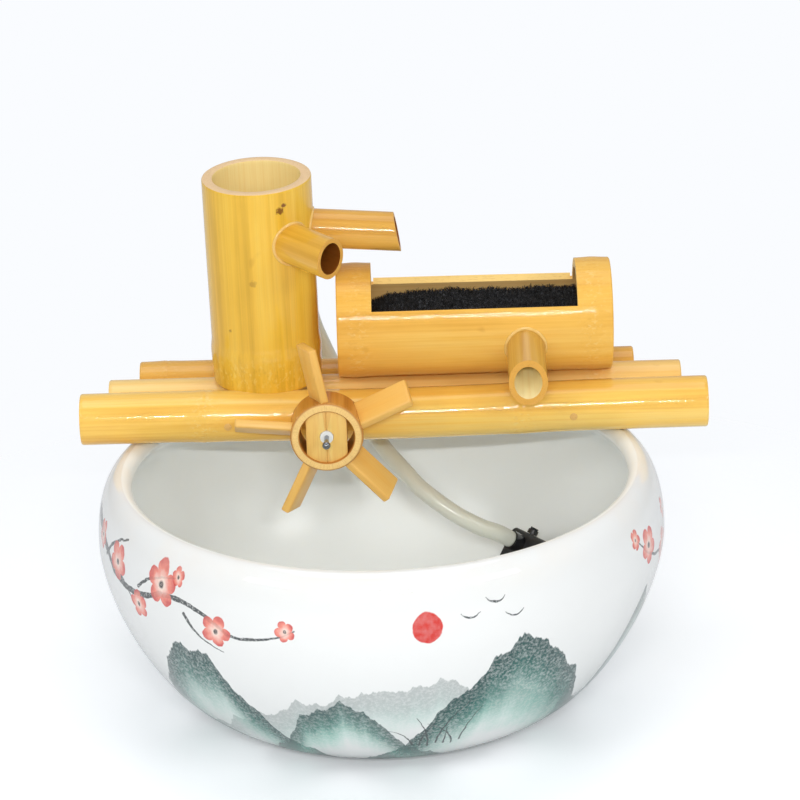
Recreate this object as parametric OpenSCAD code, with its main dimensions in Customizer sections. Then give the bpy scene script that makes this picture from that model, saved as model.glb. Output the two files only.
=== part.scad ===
// Bamboo water-wheel fountain on a ceramic bowl.
// Three bamboo poles lie across the bowl's rim. They carry an upright cup, a filter
// trough and a water wheel, and a pump in the bowl feeds the cup through a hose.
// +X runs along the poles to the right, +Y away from the viewer, +Z up. The origin is
// on the table, below the middle of the front pole and level with the bowl's middle.

/* [Bowl] */
// Largest outer diameter of the bowl
bowl_d = 353; // [320:1:380]
// Height from the foot to the top of the lip
bowl_h = 152; // [145:1:165]
// Depth of the widest place below the lip
bowl_shoulder = 41; // [36:1:46]
// Diameter across the top of the lip
bowl_lip_d = 321; // [310:1:325]
// Radius of the rounded lip
bowl_lip_r = 6.5; // [5:0.5:8]
// Thickness of the wall
bowl_wall = 7; // [5:0.5:9]
// Outer diameter of the foot ring
foot_d = 198; // [180:1:210]
// Width of the foot ring
foot_w = 9; // [6:0.5:14]
// Height of the hollow inside the foot ring
foot_h = 3; // [2:0.5:5]
// How far the middle of the bowl lies to the left of the poles' middle
bowl_offset = 10; // [0:1:20]
// How far the wall runs out along the table before it turns up
wall_pull = 44; // [36:1:52]
// How far below the shoulder the wall starts to turn upright
wall_lift = 30; // [22:1:38]

/* [Poles] */
// Distance of the front pole's axis behind the bowl's middle
raft_y = 47.2; // [40:0.1:52]
// Diameter of the front pole
front_d = 33; // [30:0.5:36]
// Length of the front pole
front_l = 396; // [380:1:420]
// Diameter of the middle pole
middle_d = 29.6; // [27:0.2:32]
// Length of the middle pole
middle_l = 366; // [350:1:380]
// How far the middle pole lies to the right of the front pole's middle
middle_shift = 1; // [-5:1:5]
// Diameter of the rear pole
rear_d = 29; // [26:0.5:32]
// Length of the rear pole
rear_l = 320; // [300:1:340]
// How far the rear pole lies to the right of the front pole's middle
rear_shift = -4; // [-10:1:5]
// Wall of the three poles
pole_wall = 4.6; // [3.5:0.1:6]
// Thickness of the wall that closes a pole inside each of its rings
pole_septum = 3; // [2:0.5:5]
// Height of the ring that stands out at each node of a pole
ring_h = 0.6; // [0.3:0.1:1]
// Diameter of the two cross dowels
dowel_d = 5; // [4:0.5:6]
// Place of the left dowel along the poles
dowel_left_x = -104.7; // [-110:0.1:-100]
// Place of the right dowel along the poles
dowel_right_x = 112.8; // [108:0.1:118]

/* [Cup] */
// Outer diameter of the cup
cup_d = 69; // [64:0.2:72]
// Height of the cup above its seat
cup_h = 135; // [125:1:145]
// Wall of the cup
cup_wall = 6.2; // [5:0.1:7]
// Thickness of the culm's own node, which is the cup's floor
cup_floor = 15; // [12:1:20]
// Radius of the rounded lower edge
cup_round = 3; // [2.5:0.5:8]
// Height of the culm's node, where it is thickest, above the cup's seat
cup_node_h = 22; // [19:0.5:24]
// How far the culm swells there
cup_swell = 0.8; // [0.5:0.1:1.5]
// Place of the cup along the poles
cup_x = -80; // [-83:0.1:-76]
// Lean of the cup to the left, in degrees
cup_lean = 0.8; // [0:0.05:2.5]

/* [Cup spouts] */
// Outer diameter of the spout that feeds the trough
feed_d = 24.8; // [22:0.2:27]
// Height of its axis at the cup, above the cup's seat
feed_h = 101.9; // [96:0.1:106]
// Reach of that spout from the cup's axis, along its own axis
feed_reach = 85.6; // [78:0.1:90]
// Fall of that spout, in degrees
feed_fall = 4.5; // [2:0.5:7]
// Slant of its cut end, in degrees
feed_cut = 14.5; // [0:0.5:20]
// Outer diameter of the spout over the wheel
splash_d = 25.6; // [22:0.2:28]
// Height of its axis above the cup's seat
splash_h = 98.2; // [92:0.1:104]
// Reach of that spout from the cup's axis
splash_reach = 72.2; // [66:0.1:80]
// Angle of that spout, towards the viewer from the right, in degrees
splash_turn = 52.5; // [48:0.5:60]
// Slant of its cut end, in degrees
splash_cut = 17; // [10:1:35]
// Wall of the two spouts
spout_wall = 3; // [2:0.1:4]

/* [Trough] */
// Diameter of the trough at its left end
trough_d1 = 73.6; // [70:0.2:78]
// Diameter of the trough at its right end
trough_d2 = 72; // [68:0.2:76]
// Length of the trough
trough_l = 173.6; // [165:0.2:185]
// Place of the trough's left end along the poles
trough_x = -34.4; // [-38:0.1:-28]
// Wall of the trough
trough_wall = 6.2; // [5:0.1:7]
// Depth of the recess outside each closed end
trough_recess = 9; // [6:0.5:10]
// Thickness of each closed end
trough_septum = 5; // [4:0.5:6]
// Distance from each end to the window
window_end = 22.1; // [18:0.1:28]
// Height of the window's long edges, on the skin, above the trough's axis
window_h = 17; // [12:0.5:22]
// Width of the saw cut that ran on at the window's two rear corners
kerf_w = 1.3; // [0.8:0.1:2]
// How far it ran on below the window's edge
kerf_h = 3.2; // [1:0.1:4]

/* [Trough spout] */
// Outer diameter of the spout that empties the trough
drain_d = 24.6; // [22:0.2:26]
// Wall of that spout
drain_wall = 3.6; // [2.5:0.1:4.5]
// Place of that spout along the poles
drain_x = 83.9; // [70:0.1:95]
// Fall of that spout, in degrees
drain_fall = 22; // [18:0.5:25]
// Height of its end's middle above the top of the middle pole
drain_h = 15.4; // [13:0.1:20]
// Distance of its end in front of the trough's axis
drain_reach = 64.6; // [58:0.1:68]
// Slant of its cut end beyond upright, in degrees
drain_cut = 10; // [0:1:15]

/* [Filter] */
// Gap between the filter foam and each closed end of the trough
foam_end_gap = 6.8; // [3:0.1:15]
// Height of the foam's top above the trough's axis
foam_h = 7.5; // [2:0.5:12]

/* [Water wheel] */
// Place of the wheel along the poles
wheel_x = -42.3; // [-50:0.1:-38]
// Outer diameter of the hub ring
hub_d = 45.8; // [42:0.2:50]
// Wall of the hub ring
hub_wall = 5.7; // [5:0.1:7]
// Length of the hub ring
hub_l = 23; // [20:0.5:26]
// Clearance between the hub and the front pole
hub_gap = 3.7; // [2:0.1:6]
// Diameter over the tips of the blades
wheel_d = 115; // [100:1:120]
// Width of a blade
blade_w = 20.6; // [16:0.2:22]
// Thickness of a blade
blade_t = 5; // [3:0.1:6]
// Depth of the slot that holds a blade in the hub
blade_slot = 4.4; // [3:0.1:4.8]
// Twist of a blade away from the wheel's axis, in degrees
blade_twist = 24; // [10:0.1:30]
// Width of the two slats across the hub
bridge_w = 25.4; // [20:0.2:30]
// Thickness of the slats
bridge_t = 4.5; // [3:0.1:6]
// Depth of the slats below the hub's faces
bridge_inset = 1.5; // [0.5:0.1:3]
// Outer diameter of the white bushing
bushing_d = 8.2; // [6:0.1:10]
// How far the bushing stands out of the slats
bushing_out = 1; // [0.5:0.1:2]
// Diameter of the steel pin
pin_d = 3; // [2.5:0.1:4]
// Diameter of the pin's round head
pin_head_d = 5.2; // [4.5:0.1:6]
// Length of pin in front of the hub, with its head
pin_out = 15; // [10:0.5:20]

/* [Hose and fixings] */
// Outer diameter of the hose
hose_d = 11; // [9:0.5:12]
// Height of the hose's hole in the cup above the cup's seat
hose_h = 75; // [70:0.5:78]
// Direction of that hole, away from the viewer from the right, in degrees
hose_turn = 75; // [65:1:85]
// Diameter of the grommet's flange
grommet_d = 17; // [15:0.5:20]
// Thickness of the grommet's flange
grommet_t = 2.5; // [2:0.5:4]
// Diameter of the wood screws
screw_d = 4; // [3:0.5:5]
// How far a screw goes into the cup or the trough
screw_grip = 5; // [4:0.5:6]
// Distance from the trough's left end to its first screw
trough_screw_in = 40; // [34:1:50]
// Distance of the trough's second screw from the right dowel
screw_dowel_gap = 13.6; // [10:0.1:20]

/* [Pump] */
// Size of the pump's casing up the wall of the bowl
pump_w = 26; // [24:0.5:28]
// Length of the pump's motor casing
pump_l = 26; // [24:0.5:30]
// Height of the casing above its base
pump_h = 22; // [20:0.5:24]
// Length of the intake cover in front of the motor casing
cover_l = 16; // [14:0.5:18]
// Wall of the casing and the cover
pump_wall = 2; // [1.5:0.1:2.5]
// Direction of the pump from the bowl's middle, in degrees
pump_turn = 37; // [32:0.5:42]
// Where the pump sits on the curved wall, from 0 at the floor to 1 at the shoulder
pump_seat = 0.41; // [0.38:0.01:0.46]
// Radius of the casing's rounded edges
pump_round = 4; // [3:0.5:5]
// Height of the suction cups
suction_h = 8; // [7:0.5:10]
// Diameter of the suction cups
suction_d = 11; // [9:0.5:12]
// Distance of the suction cups from the casing's middle line
suction_x = 7.5; // [6:0.5:8]
// Length of the outlet from the casing to the hose
outlet_l = 8; // [6:0.5:12]
// Distance of the outlet to the side of the motor's axis
outlet_x = 4; // [2:0.5:5]
// Diameter of the magnet rotor
rotor_d = 10; // [8:0.5:11]
// Length of the magnet rotor
rotor_l = 14; // [12:0.5:16]
// Number of vanes on the impeller
vanes = 6; // [4:1:8]
// Diameter of the impeller's shaft
shaft_d = 2; // [1.5:0.1:2.5]

/* [Fits] */
// Gap between pieces that only lie against each other
rest_gap = 0.3; // [0.2:0.05:0.4]
// Gap round a piece that is glued or pressed in
glue_gap = 0.05; // [0.02:0.01:0.1]
// Radial clearance of a turning shaft
run_gap = 0.06; // [0.03:0.01:0.1]
// Clearance round the rotor and the impeller, where water runs
water_gap = 0.7; // [0.5:0.1:0.9]

/* [Hidden] */
$fn = 64;
// Turn of each blade, from the right, against the clock as seen from the front
blade_turns = [101, 25, -47, -114, 176];
// Rings of each pole, along the poles
front_rings = [-119.5, 79.7];
middle_rings = [-96, 132];
rear_rings = [-143, 58];
// Route of the hose between the cup's grommet and the pump's outlet
hose_route = [[-65.4, 133.8, 255.4], [-62.4, 144.2, 250.7], [-59.9, 153.5, 243.2],
    [-58, 160.4, 233.5], [-56.6, 164.3, 222], [-55.6, 165, 210], [-54.4, 162.6, 198.5],
    [-51.5, 157.8, 187.5], [-46.5, 152, 176.5], [-41, 146, 165.5], [-35, 140.2, 155],
    [-28.5, 134, 145], [-21.8, 125.8, 136.2], [-14.6, 115.2, 127.2], [-6.9, 104, 118.7],
    [5.8, 89.5, 108.5], [14.3, 81.5, 101.2], [25.5, 75.5, 93.3], [37.2, 71.5, 85.6],
    [46, 70.4, 80.4], [54.8, 70.5, 75.4], [64.6, 71.9, 71]];

// Places that several pieces share
bowl_r = bowl_d / 2;
lip_c = bowl_lip_d / 2;
foot_r = foot_d / 2;
shoulder_z = bowl_h - bowl_shoulder;
raft_z = bowl_h + rest_gap;
front_z = raft_z + front_d / 2;
middle_y = raft_y + (front_d + middle_d) / 2 + rest_gap;
middle_z = raft_z + middle_d / 2;
rear_y = middle_y + (middle_d + rear_d) / 2 + rest_gap;
rear_z = raft_z + rear_d / 2;
seat_z = raft_z + middle_d;
dowel_l = rear_y + rear_d / 2 - (raft_y - front_d / 2);
trough_z = seat_z + glue_gap + trough_d1 / 2;
wheel_front = raft_y - front_d / 2 - hub_gap - hub_l;
wheel_axle_z = front_z;
feed_z = seat_z + feed_h;
splash_z = seat_z + splash_h;
hose_z = seat_z + hose_h;
drain_y = middle_y - drain_reach;
drain_z = seat_z + drain_h;

function bezier(a, b, c, d, t) =
    a * pow(1 - t, 3) + 3 * b * t * pow(1 - t, 2) + 3 * c * t * t * (1 - t) + d * pow(t, 3);
function bezier_slope(a, b, c, d, t) =
    3 * (b - a) * pow(1 - t, 2) + 6 * (c - b) * t * (1 - t) + 3 * (d - c) * t * t;

// Bowl wall from the foot to the shoulder: radius and height at t from 0 to 1
wall_a = [foot_r, foot_h];
wall_b = [foot_r + wall_pull, foot_h + 1];
wall_c = [bowl_r, shoulder_z - wall_lift];
wall_d = [bowl_r, shoulder_z];
function wall_out(t) = bezier(wall_a, wall_b, wall_c, wall_d, t);
function wall_normal(t) = let (s = bezier_slope(wall_a, wall_b, wall_c, wall_d, t))
    [-s.y, s.x] / norm(s);
function wall_in(t) = wall_out(t) + bowl_wall * wall_normal(t);

wall_steps = 24;
shoulder_steps = 12;
lip_steps = 12;

function bowl_profile() = concat(
    [[0, foot_h], [foot_r - foot_w, foot_h], [foot_r - foot_w + 1, 0], [foot_r - 1, 0],
     [foot_r, 1]],
    [for (i = [0 : wall_steps]) wall_out(i / wall_steps)],
    [for (i = [1 : shoulder_steps - 1]) bezier(wall_d, [bowl_r, shoulder_z + 0.75 * bowl_shoulder],
        [lip_c + bowl_lip_r, bowl_h], [lip_c, bowl_h], i / shoulder_steps)],
    [for (i = [0 : lip_steps]) let (a = 90 + i * 110 / lip_steps)
        [lip_c, bowl_h - bowl_lip_r] + bowl_lip_r * [cos(a), sin(a)]],
    [for (i = [1 : shoulder_steps - 1]) bezier(
        [lip_c - bowl_lip_r, bowl_h - 1.4 * bowl_lip_r],
        [lip_c - bowl_lip_r + 3, bowl_h - 2.2 * bowl_lip_r],
        [bowl_r - bowl_wall, shoulder_z + 0.55 * bowl_shoulder],
        [bowl_r - bowl_wall, shoulder_z], i / shoulder_steps)],
    [for (i = [wall_steps : -1 : 0]) wall_in(i / wall_steps)],
    [[0, foot_h + bowl_wall]]);

module bowl() {
    color("whitesmoke")
        translate([-bowl_offset, 0, 0])
            rotate_extrude($fn = 128)
                polygon(bowl_profile());
}

// Turns a shape made along +Z so that it lies along +X
module along_x() {
    rotate([0, 90, 0]) children();
}

// A length of culm along +X from its middle, with rings outside and closed nodes inside
module culm(length, d, rings) {
    stops = concat([-length / 2 - pole_septum], rings, [length / 2 + pole_septum]);
    edge = 0.8;
    ring_w = 5;
    along_x() difference() {
        union() {
            rotate_extrude()
                polygon([[0, -length / 2], [d / 2 - edge, -length / 2], [d / 2, -length / 2 + edge],
                    [d / 2, length / 2 - edge], [d / 2 - edge, length / 2], [0, length / 2]]);
            for (x = rings)
                translate([0, 0, x])
                    rotate_extrude()
                        polygon([[0, -ring_w], [d / 2, -ring_w], [d / 2 + ring_h, -ring_w / 5],
                            [d / 2 + ring_h, 0], [d / 2 - ring_h, ring_w / 5],
                            [d / 2 - ring_h, ring_w / 3], [d / 2, ring_w / 2], [0, ring_w / 2]]);
        }
        for (i = [0 : len(stops) - 2])
            translate([0, 0, stops[i] + pole_septum / 2])
                cylinder(d = d - 2 * pole_wall, h = stops[i + 1] - stops[i] - pole_septum);
    }
}

// Holes for the two dowels, along +Y through the whole raft
module dowel_holes() {
    for (x = [dowel_left_x, dowel_right_x])
        translate([x, raft_y - front_d, middle_z])
            rotate([-90, 0, 0])
                cylinder(d = dowel_d + 2 * glue_gap, h = dowel_l + 2 * front_d);
}

// Room for the cup's foot, where the front pole and the rings stand higher than its seat
module cup_seat() {
    translate([0, 0, -glue_gap / 2]) cup_blank(rest_gap);
}

// What is filed off the rings underneath, so that the culms can lie on the bowl's lip
module filed_rings(y) {
    translate([-front_l, y - front_d, raft_z - front_d - glue_gap])
        cube([2 * front_l, 2 * front_d, front_d]);
}

module pole_front() {
    color("sandybrown") difference() {
        translate([0, raft_y, front_z]) culm(front_l, front_d, front_rings);
        dowel_holes();
        cup_seat();
        translate([wheel_x, raft_y, wheel_axle_z])
            rotate([90, 0, 0])
                cylinder(d = pin_d + 2 * glue_gap, h = front_d);
    }
}

module pole_middle() {
    color("burlywood") difference() {
        translate([middle_shift, middle_y, middle_z]) culm(middle_l, middle_d, middle_rings);
        dowel_holes();
        cup_seat();
        filed_rings(middle_y);
        for (x = screw_places)
            translate([x, middle_y, raft_z - 1])
                cylinder(d = screw_d + 2 * glue_gap, h = middle_d + 2);
    }
}

module pole_rear() {
    color("peru") difference() {
        translate([rear_shift, rear_y, rear_z]) culm(rear_l, rear_d, rear_rings);
        dowel_holes();
        cup_seat();
    }
}
screw_places = [cup_x, trough_x + trough_screw_in, dowel_right_x - screw_dowel_gap];

module dowel(x) {
    color("burlywood")
        translate([x, raft_y - front_d / 2 + rest_gap, middle_z])
            rotate([-90, 0, 0])
                cylinder(d = dowel_d, h = dowel_l - 2 * rest_gap);
}

// Swelling of the cup's skin: it rises slowly from the foot to the node and falls off
// sharply above it
cup_fall = 6;
function cup_swelling(h) =
    let (t = h < cup_node_h ? (h - cup_round) / (cup_node_h - cup_round)
        : 1 - (h - cup_node_h) / cup_fall)
    cup_swell * (1 - cos(180 * max(0, min(1, t)))) / 2;

// Half outline of the cup: its rounded foot and its wall up to the height given
function cup_outline(grow, top) = concat(
    [[0, 0]],
    [for (a = [-90 : 10 : 0])
        [cup_d / 2 - cup_round + grow + cup_round * cos(a), cup_round * (1 + sin(a))]],
    [for (i = [1 : 12]) let (h = cup_round + i * (cup_node_h + cup_fall - cup_round) / 12)
        [cup_d / 2 + grow + cup_swelling(h), h]],
    [[cup_d / 2 + grow, top], [0, top]]);

// The cup's leaning body without its hollow, and with its skin moved out
module cup_blank(grow) {
    rim = 1;
    sink = 2;
    top = cup_h + sink;
    translate([cup_x, middle_y, seat_z + glue_gap]) intersection() {
        rotate([0, -cup_lean, 0]) translate([0, 0, -sink])
            rotate_extrude() polygon(concat(cup_outline(grow, top - rim),
                [[cup_d / 2 + grow, top - rim], [cup_d / 2 + grow - rim, top], [0, top]]));
        translate([-cup_d, -cup_d, 0]) cube([2 * cup_d, 2 * cup_d, 2 * cup_h]);
    }
}

module cup_holes() {
    feed_pose() cylinder(d = feed_d + 2 * glue_gap, h = cup_d);
    splash_pose() cylinder(d = splash_d + 2 * glue_gap, h = cup_d);
    hose_pose() translate([0, 0, -cup_d / 2]) cylinder(d = hose_d, h = cup_d);
    translate([cup_x, middle_y, 0])
        cylinder(d = screw_d, h = seat_z + screw_grip);
}

module cup() {
    color("goldenrod") difference() {
        cup_blank(0);
        translate([cup_x, middle_y, seat_z + glue_gap]) rotate([0, -cup_lean, 0])
            translate([0, 0, cup_floor]) cylinder(d = cup_d - 2 * cup_wall, h = cup_h);
        cup_holes();
    }
}

module feed_pose() {
    translate([cup_x, middle_y, feed_z]) rotate([0, 90 + feed_fall, 0]) children();
}

module splash_pose() {
    translate([cup_x, middle_y, splash_z]) rotate([0, 90, -splash_turn]) children();
}

// A bamboo tube along +Z from the inside of its host to a slanted end
module spout(start, reach, d, wall, cut, turn) {
    difference() {
        translate([0, 0, start]) cylinder(d = d, h = reach - start + d);
        cylinder(d = d - 2 * wall, h = reach + 2 * d);
        translate([0, 0, reach]) rotate([0, 0, turn]) rotate([cut, 0, 0])
            translate([-2 * d, -2 * d, 0]) cube(4 * d);
    }
}

module spout_to_trough() {
    color("tan") feed_pose()
        spout(cup_d / 2 - cup_wall - 2, feed_reach, feed_d, spout_wall, feed_cut, -90);
}

module spout_to_wheel() {
    color("goldenrod") splash_pose()
        spout(cup_d / 2 - cup_wall - 2, splash_reach, splash_d, spout_wall, splash_cut, 180);
}

// A wood screw from below, with its head against the middle pole
module screw(x, tip_z) {
    head_h = 2.4;
    shank_z = raft_z - head_h;
    translate([x, middle_y, shank_z]) {
        cylinder(d = 2 * screw_d, h = head_h - glue_gap);
        cylinder(d = screw_d, h = tip_z - shank_z - screw_d / 2);
        translate([0, 0, tip_z - shank_z - screw_d / 2])
            cylinder(d1 = screw_d, d2 = 0.6, h = screw_d / 2);
    }
}

module cup_screw() {
    color("silver") screw(cup_x, seat_z + screw_grip);
}

module trough_screws() {
    color("silver")
        for (i = [1, 2])
            screw(screw_places[i], seat_z + screw_grip);
}

// Diameter of the trough at a distance from its left end
function trough_d_at(x) = trough_d1 + (trough_d2 - trough_d1) * x / trough_l;

module trough_taper(x1, x2, inset) {
    translate([x1, 0, 0]) along_x()
        cylinder(d1 = trough_d_at(x1) - 2 * inset, d2 = trough_d_at(x2) - 2 * inset, h = x2 - x1);
}

module drain_pose() {
    translate([drain_x, drain_y, drain_z]) rotate([90 + drain_fall, 0, 0]) children();
}

// Section of the strip that is split out of the culm for the window, with its upper side
// along -X: each long edge runs from the skin towards the culm's axis
module window_wedge() {
    edge_angle = asin(2 * window_h / trough_d1);
    corner = trough_d1 * [sin(edge_angle), cos(edge_angle)];
    polygon([[0, 0], [-corner.x, corner.y], [-trough_d1, corner.y], [-trough_d1, -corner.y],
        [-corner.x, -corner.y]]);
}

module trough() {
    inner = trough_recess + trough_septum;
    edge = 1;
    edge_r = trough_d1 / 2 - edge;
    color("sandybrown") difference() {
        translate([trough_x, middle_y, trough_z]) difference() {
            intersection() {
                trough_taper(0, trough_l, 0);
                along_x() cylinder(r1 = edge_r, r2 = edge_r + trough_l, h = trough_l);
            }
            trough_taper(-1, trough_recess, trough_wall);
            trough_taper(trough_l - trough_recess, trough_l + 1, trough_wall);
            trough_taper(inner, trough_l - inner, trough_wall);
            translate([window_end, 0, 0]) along_x() linear_extrude(trough_l - 2 * window_end)
                window_wedge();
            for (x = [window_end, trough_l - window_end - kerf_w])
                translate([x, 0, window_h - kerf_h]) cube([kerf_w, trough_d1, trough_d1]);
        }
        drain_pose() translate([0, 0, -drain_reach])
            cylinder(d = drain_d + 2 * glue_gap, h = drain_reach);
        for (i = [1, 2])
            translate([screw_places[i], middle_y, 0])
                cylinder(d = screw_d, h = seat_z + screw_grip);
    }
}

// Length of that spout: it reaches a little way through the trough's wall
drain_in = 4;
drain_l = (drain_reach - trough_d1 / 2 + trough_wall + drain_in) / cos(drain_fall);

module spout_outlet() {
    color("tan") drain_pose() translate([0, 0, -drain_l])
        spout(0, drain_l, drain_d, drain_wall, -(drain_fall + drain_cut), 0);
}

module filter_foam() {
    start = trough_recess + trough_septum + foam_end_gap;
    foam_l = trough_l - 2 * start;
    color("black") difference() {
        translate([trough_x, middle_y, trough_z]) intersection() {
            trough_taper(start, start + foam_l, trough_wall + rest_gap);
            translate([0, -trough_d1, -trough_d1])
                cube([trough_l, 2 * trough_d1, trough_d1 + foam_h]);
        }
        drain_pose() translate([0, 0, -drain_l - rest_gap])
            cylinder(d = drain_d + 2 * rest_gap, h = drain_l);
    }
}

// The wheel is drawn round +Z with its front face at 0, and turned to face the viewer
module at_wheel() {
    translate([wheel_x, wheel_front, wheel_axle_z]) rotate([90, 0, 0]) children();
}

module blade_body(turn, grow) {
    root = hub_d / 2 - blade_slot;
    rotate([0, 0, turn]) translate([root, 0, -hub_l / 2]) rotate([blade_twist, 0, 0])
        translate([-grow, -blade_t / 2 - grow, -blade_w / 2 - grow])
            cube([wheel_d / 2 - root + grow, blade_t + 2 * grow, blade_w + 2 * grow]);
}

module wheel_hub() {
    bevel = 1.2;
    color("peru") at_wheel() difference() {
        rotate_extrude() polygon([[hub_d / 2 - hub_wall, -hub_l], [hub_d / 2 - bevel, -hub_l],
            [hub_d / 2, -hub_l + bevel], [hub_d / 2, -bevel], [hub_d / 2 - bevel, 0],
            [hub_d / 2 - hub_wall, 0]]);
        for (turn = blade_turns)
            blade_body(turn, glue_gap);
    }
}

module blade(i) {
    color("burlywood") at_wheel() blade_body(blade_turns[i], 0);
}

// A slat across the hub, with its outer face at z, a drying crack and the bushing's hole
module bridge(z) {
    crack = 0.4;
    at_wheel() translate([0, 0, z]) difference() {
        intersection() {
            cylinder(d = hub_d - 2 * hub_wall - 2 * glue_gap, h = bridge_t);
            translate([-bridge_w / 2, -hub_d, 0]) cube([bridge_w, 2 * hub_d, bridge_t]);
        }
        cylinder(d = bushing_d + 2 * glue_gap, h = 3 * bridge_t, center = true);
        translate([-crack / 2, -hub_d, bridge_t - 1]) cube([crack, 2 * hub_d, 2]);
    }
}

module bridge_front() {
    color("sandybrown") bridge(-bridge_inset - bridge_t);
}

module bridge_rear() {
    color("sandybrown") bridge(-hub_l + bridge_inset);
}

module wheel_bushing() {
    length = hub_l - 2 * bridge_inset + 2 * bushing_out;
    color("white") at_wheel() translate([0, 0, -bridge_inset + bushing_out - length])
        difference() {
            cylinder(d = bushing_d, h = length);
            translate([0, 0, -1]) cylinder(d = pin_d + 2 * run_gap, h = length + 2);
        }
}

module axle_pin() {
    grip = front_d - pole_wall - rest_gap;
    shank = hub_l + hub_gap + grip + pin_out - pin_head_d;
    color("gainsboro") at_wheel() translate([0, 0, pin_out - pin_head_d - shank]) {
        cylinder(d = pin_d, h = shank + pin_head_d / 2);
        translate([0, 0, shank + pin_head_d / 2]) sphere(d = pin_head_d);
    }
}

module axle_spacer() {
    space = hub_gap + bridge_inset - bushing_out;
    color("white") at_wheel() translate([0, 0, -hub_l - hub_gap + rest_gap])
        difference() {
            cylinder(d = bushing_d - 1, h = space - 2 * rest_gap);
            translate([0, 0, -1]) cylinder(d = pin_d + 2 * glue_gap, h = space + 2);
        }
}

// The cup's own axis at a height above its seat
function cup_axis_x(h) = cup_x - h * tan(cup_lean);
hose_middle = [cup_axis_x(hose_h), middle_y, hose_z];
hose_dir = [cos(hose_turn), sin(hose_turn), 0];

// Along the hose's hole, with 0 on the cup's outer wall
module hose_pose() {
    translate(hose_middle + hose_dir * cup_d / 2)
        rotate([0, 0, hose_turn]) rotate([0, 90, 0]) children();
}

module hose_grommet() {
    neck = cup_wall + 1;
    color("dimgray") hose_pose() {
        translate([0, 0, -neck])
            cylinder(d = hose_d - 2 * glue_gap, h = neck + 1);
        translate([0, 0, grommet_gap]) cylinder(d = grommet_d, h = grommet_t);
    }
}

// The pump stands on the bowl's wall, square to it. Its own axes are X up the wall,
// Y along the wall and Z off the wall, with 0 on the wall under the casing's middle.
pump_spot = wall_in(pump_seat);
pump_slope = wall_normal(pump_seat);
pump_tilt = atan2(-pump_slope.x, pump_slope.y);
pump_foot = [pump_spot.x * cos(pump_turn) - bowl_offset, pump_spot.x * sin(pump_turn), pump_spot.y];
pump_up = [-sin(pump_tilt) * cos(pump_turn), -sin(pump_tilt) * sin(pump_turn), cos(pump_tilt)];
pump_x = [cos(pump_tilt) * cos(pump_turn), cos(pump_tilt) * sin(pump_turn), sin(pump_tilt)];
pump_y = [-sin(pump_turn), cos(pump_turn), 0];
pump_base = suction_h;
pump_top = pump_base + pump_h;
pump_axis_z = pump_base + pump_h / 2;
outlet_d = hose_d + 1.5;
outlet_bore = hose_d - 6;
chamber_wall = 1;
chamber_d = min(pump_w, pump_h) - 2 * pump_wall - 2 * rest_gap;
chamber_l = cover_l - pump_wall - 2;
impeller_d = chamber_d - 2 * chamber_wall - 2 * water_gap;
impeller_l = chamber_l - chamber_wall - 2 * water_gap;
shaft_sink = 4;
cover_y = -cover_l / 2 + pump_l / 2;
outlet_y = cover_y + chamber_l / 2;
outlet_end = pump_foot + outlet_x * pump_x + outlet_y * pump_y + (pump_top + outlet_l) * pump_up;

grommet_gap = 0.4;
hose_start = hose_middle + hose_dir * (cup_d / 2 + grommet_gap + grommet_t + rest_gap);
// The hose leaves the grommet straight for a little way
hose_lead = 8;
route = concat([hose_start, hose_start + hose_lead * hose_dir], hose_route, [outlet_end]);

function unit(v) = v / norm(v);
// A point of the smooth curve through the route, between points i and i + 1
function curve(p, i, t) =
    let (a = p[max(i - 1, 0)], b = p[i], c = p[i + 1], d = p[min(i + 2, len(p) - 1)])
    0.5 * ((2 * b) + (c - a) * t + (2 * a - 5 * b + 4 * c - d) * t * t
        + (3 * b - a - 3 * c + d) * t * t * t);

module tube(p, d, sides) {
    n = len(p);
    forward = [for (i = [0 : n - 1]) unit(p[min(i + 1, n - 1)] - p[max(i - 1, 0)])];
    // each ring's first direction is carried on from the ring before it
    across = ring_frames(forward, n);
    points = [for (i = [0 : n - 1]) for (k = [0 : sides - 1])
        let (a = 360 * k / sides)
        p[i] + d / 2 * (cos(a) * across[i] + sin(a) * cross(forward[i], across[i]))];
    sides_faces = [for (i = [0 : n - 2]) for (k = [0 : sides - 1])
        let (a = i * sides + k, b = i * sides + (k + 1) % sides)
        each [[a, a + sides, b], [b, a + sides, b + sides]]];
    first = [for (k = [0 : sides - 1]) k];
    last = [for (k = [sides - 1 : -1 : 0]) (n - 1) * sides + k];
    polyhedron(points, concat(sides_faces, [first, last]));
}
function ring_frames(forward, n) = [
    for (i = 0, u = unit(cross([0, 0, 1], forward[0])); i < n;
         i = i + 1, u = i < n ? unit(u - (u * forward[i]) * forward[i]) : u) u];

hose_sides = 12;
hose_steps = 2;
module hose() {
    n = len(route);
    rings = concat([for (i = [0 : n - 2]) for (k = [0 : hose_steps - 1])
        curve(route, i, k / hose_steps)], [route[n - 1]]);
    color("honeydew") tube(rings, hose_d, hose_sides);
}

module at_pump() {
    translate(pump_foot) rotate([0, 0, pump_turn]) rotate([0, -pump_tilt, 0]) children();
}

// A block with rounded long edges that runs along +Y from y
module rounded_block(y, length, w, h, r) {
    translate([0, y + length, 0]) rotate([90, 0, 0]) linear_extrude(length) union() {
        translate([-w / 2 + r, pump_base]) square([w - 2 * r, h]);
        translate([-w / 2, pump_base + r]) square([w, h - 2 * r]);
        for (x = [-w / 2 + r, w / 2 - r], z = [pump_base + r, pump_base + h - r])
            translate([x, z]) circle(r = r);
    }
}

// A cylinder along +Y from y, on the motor's axis
module on_motor_axis(y, d, length) {
    translate([0, y, pump_axis_z]) rotate([-90, 0, 0]) cylinder(d = d, h = length);
}

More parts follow.
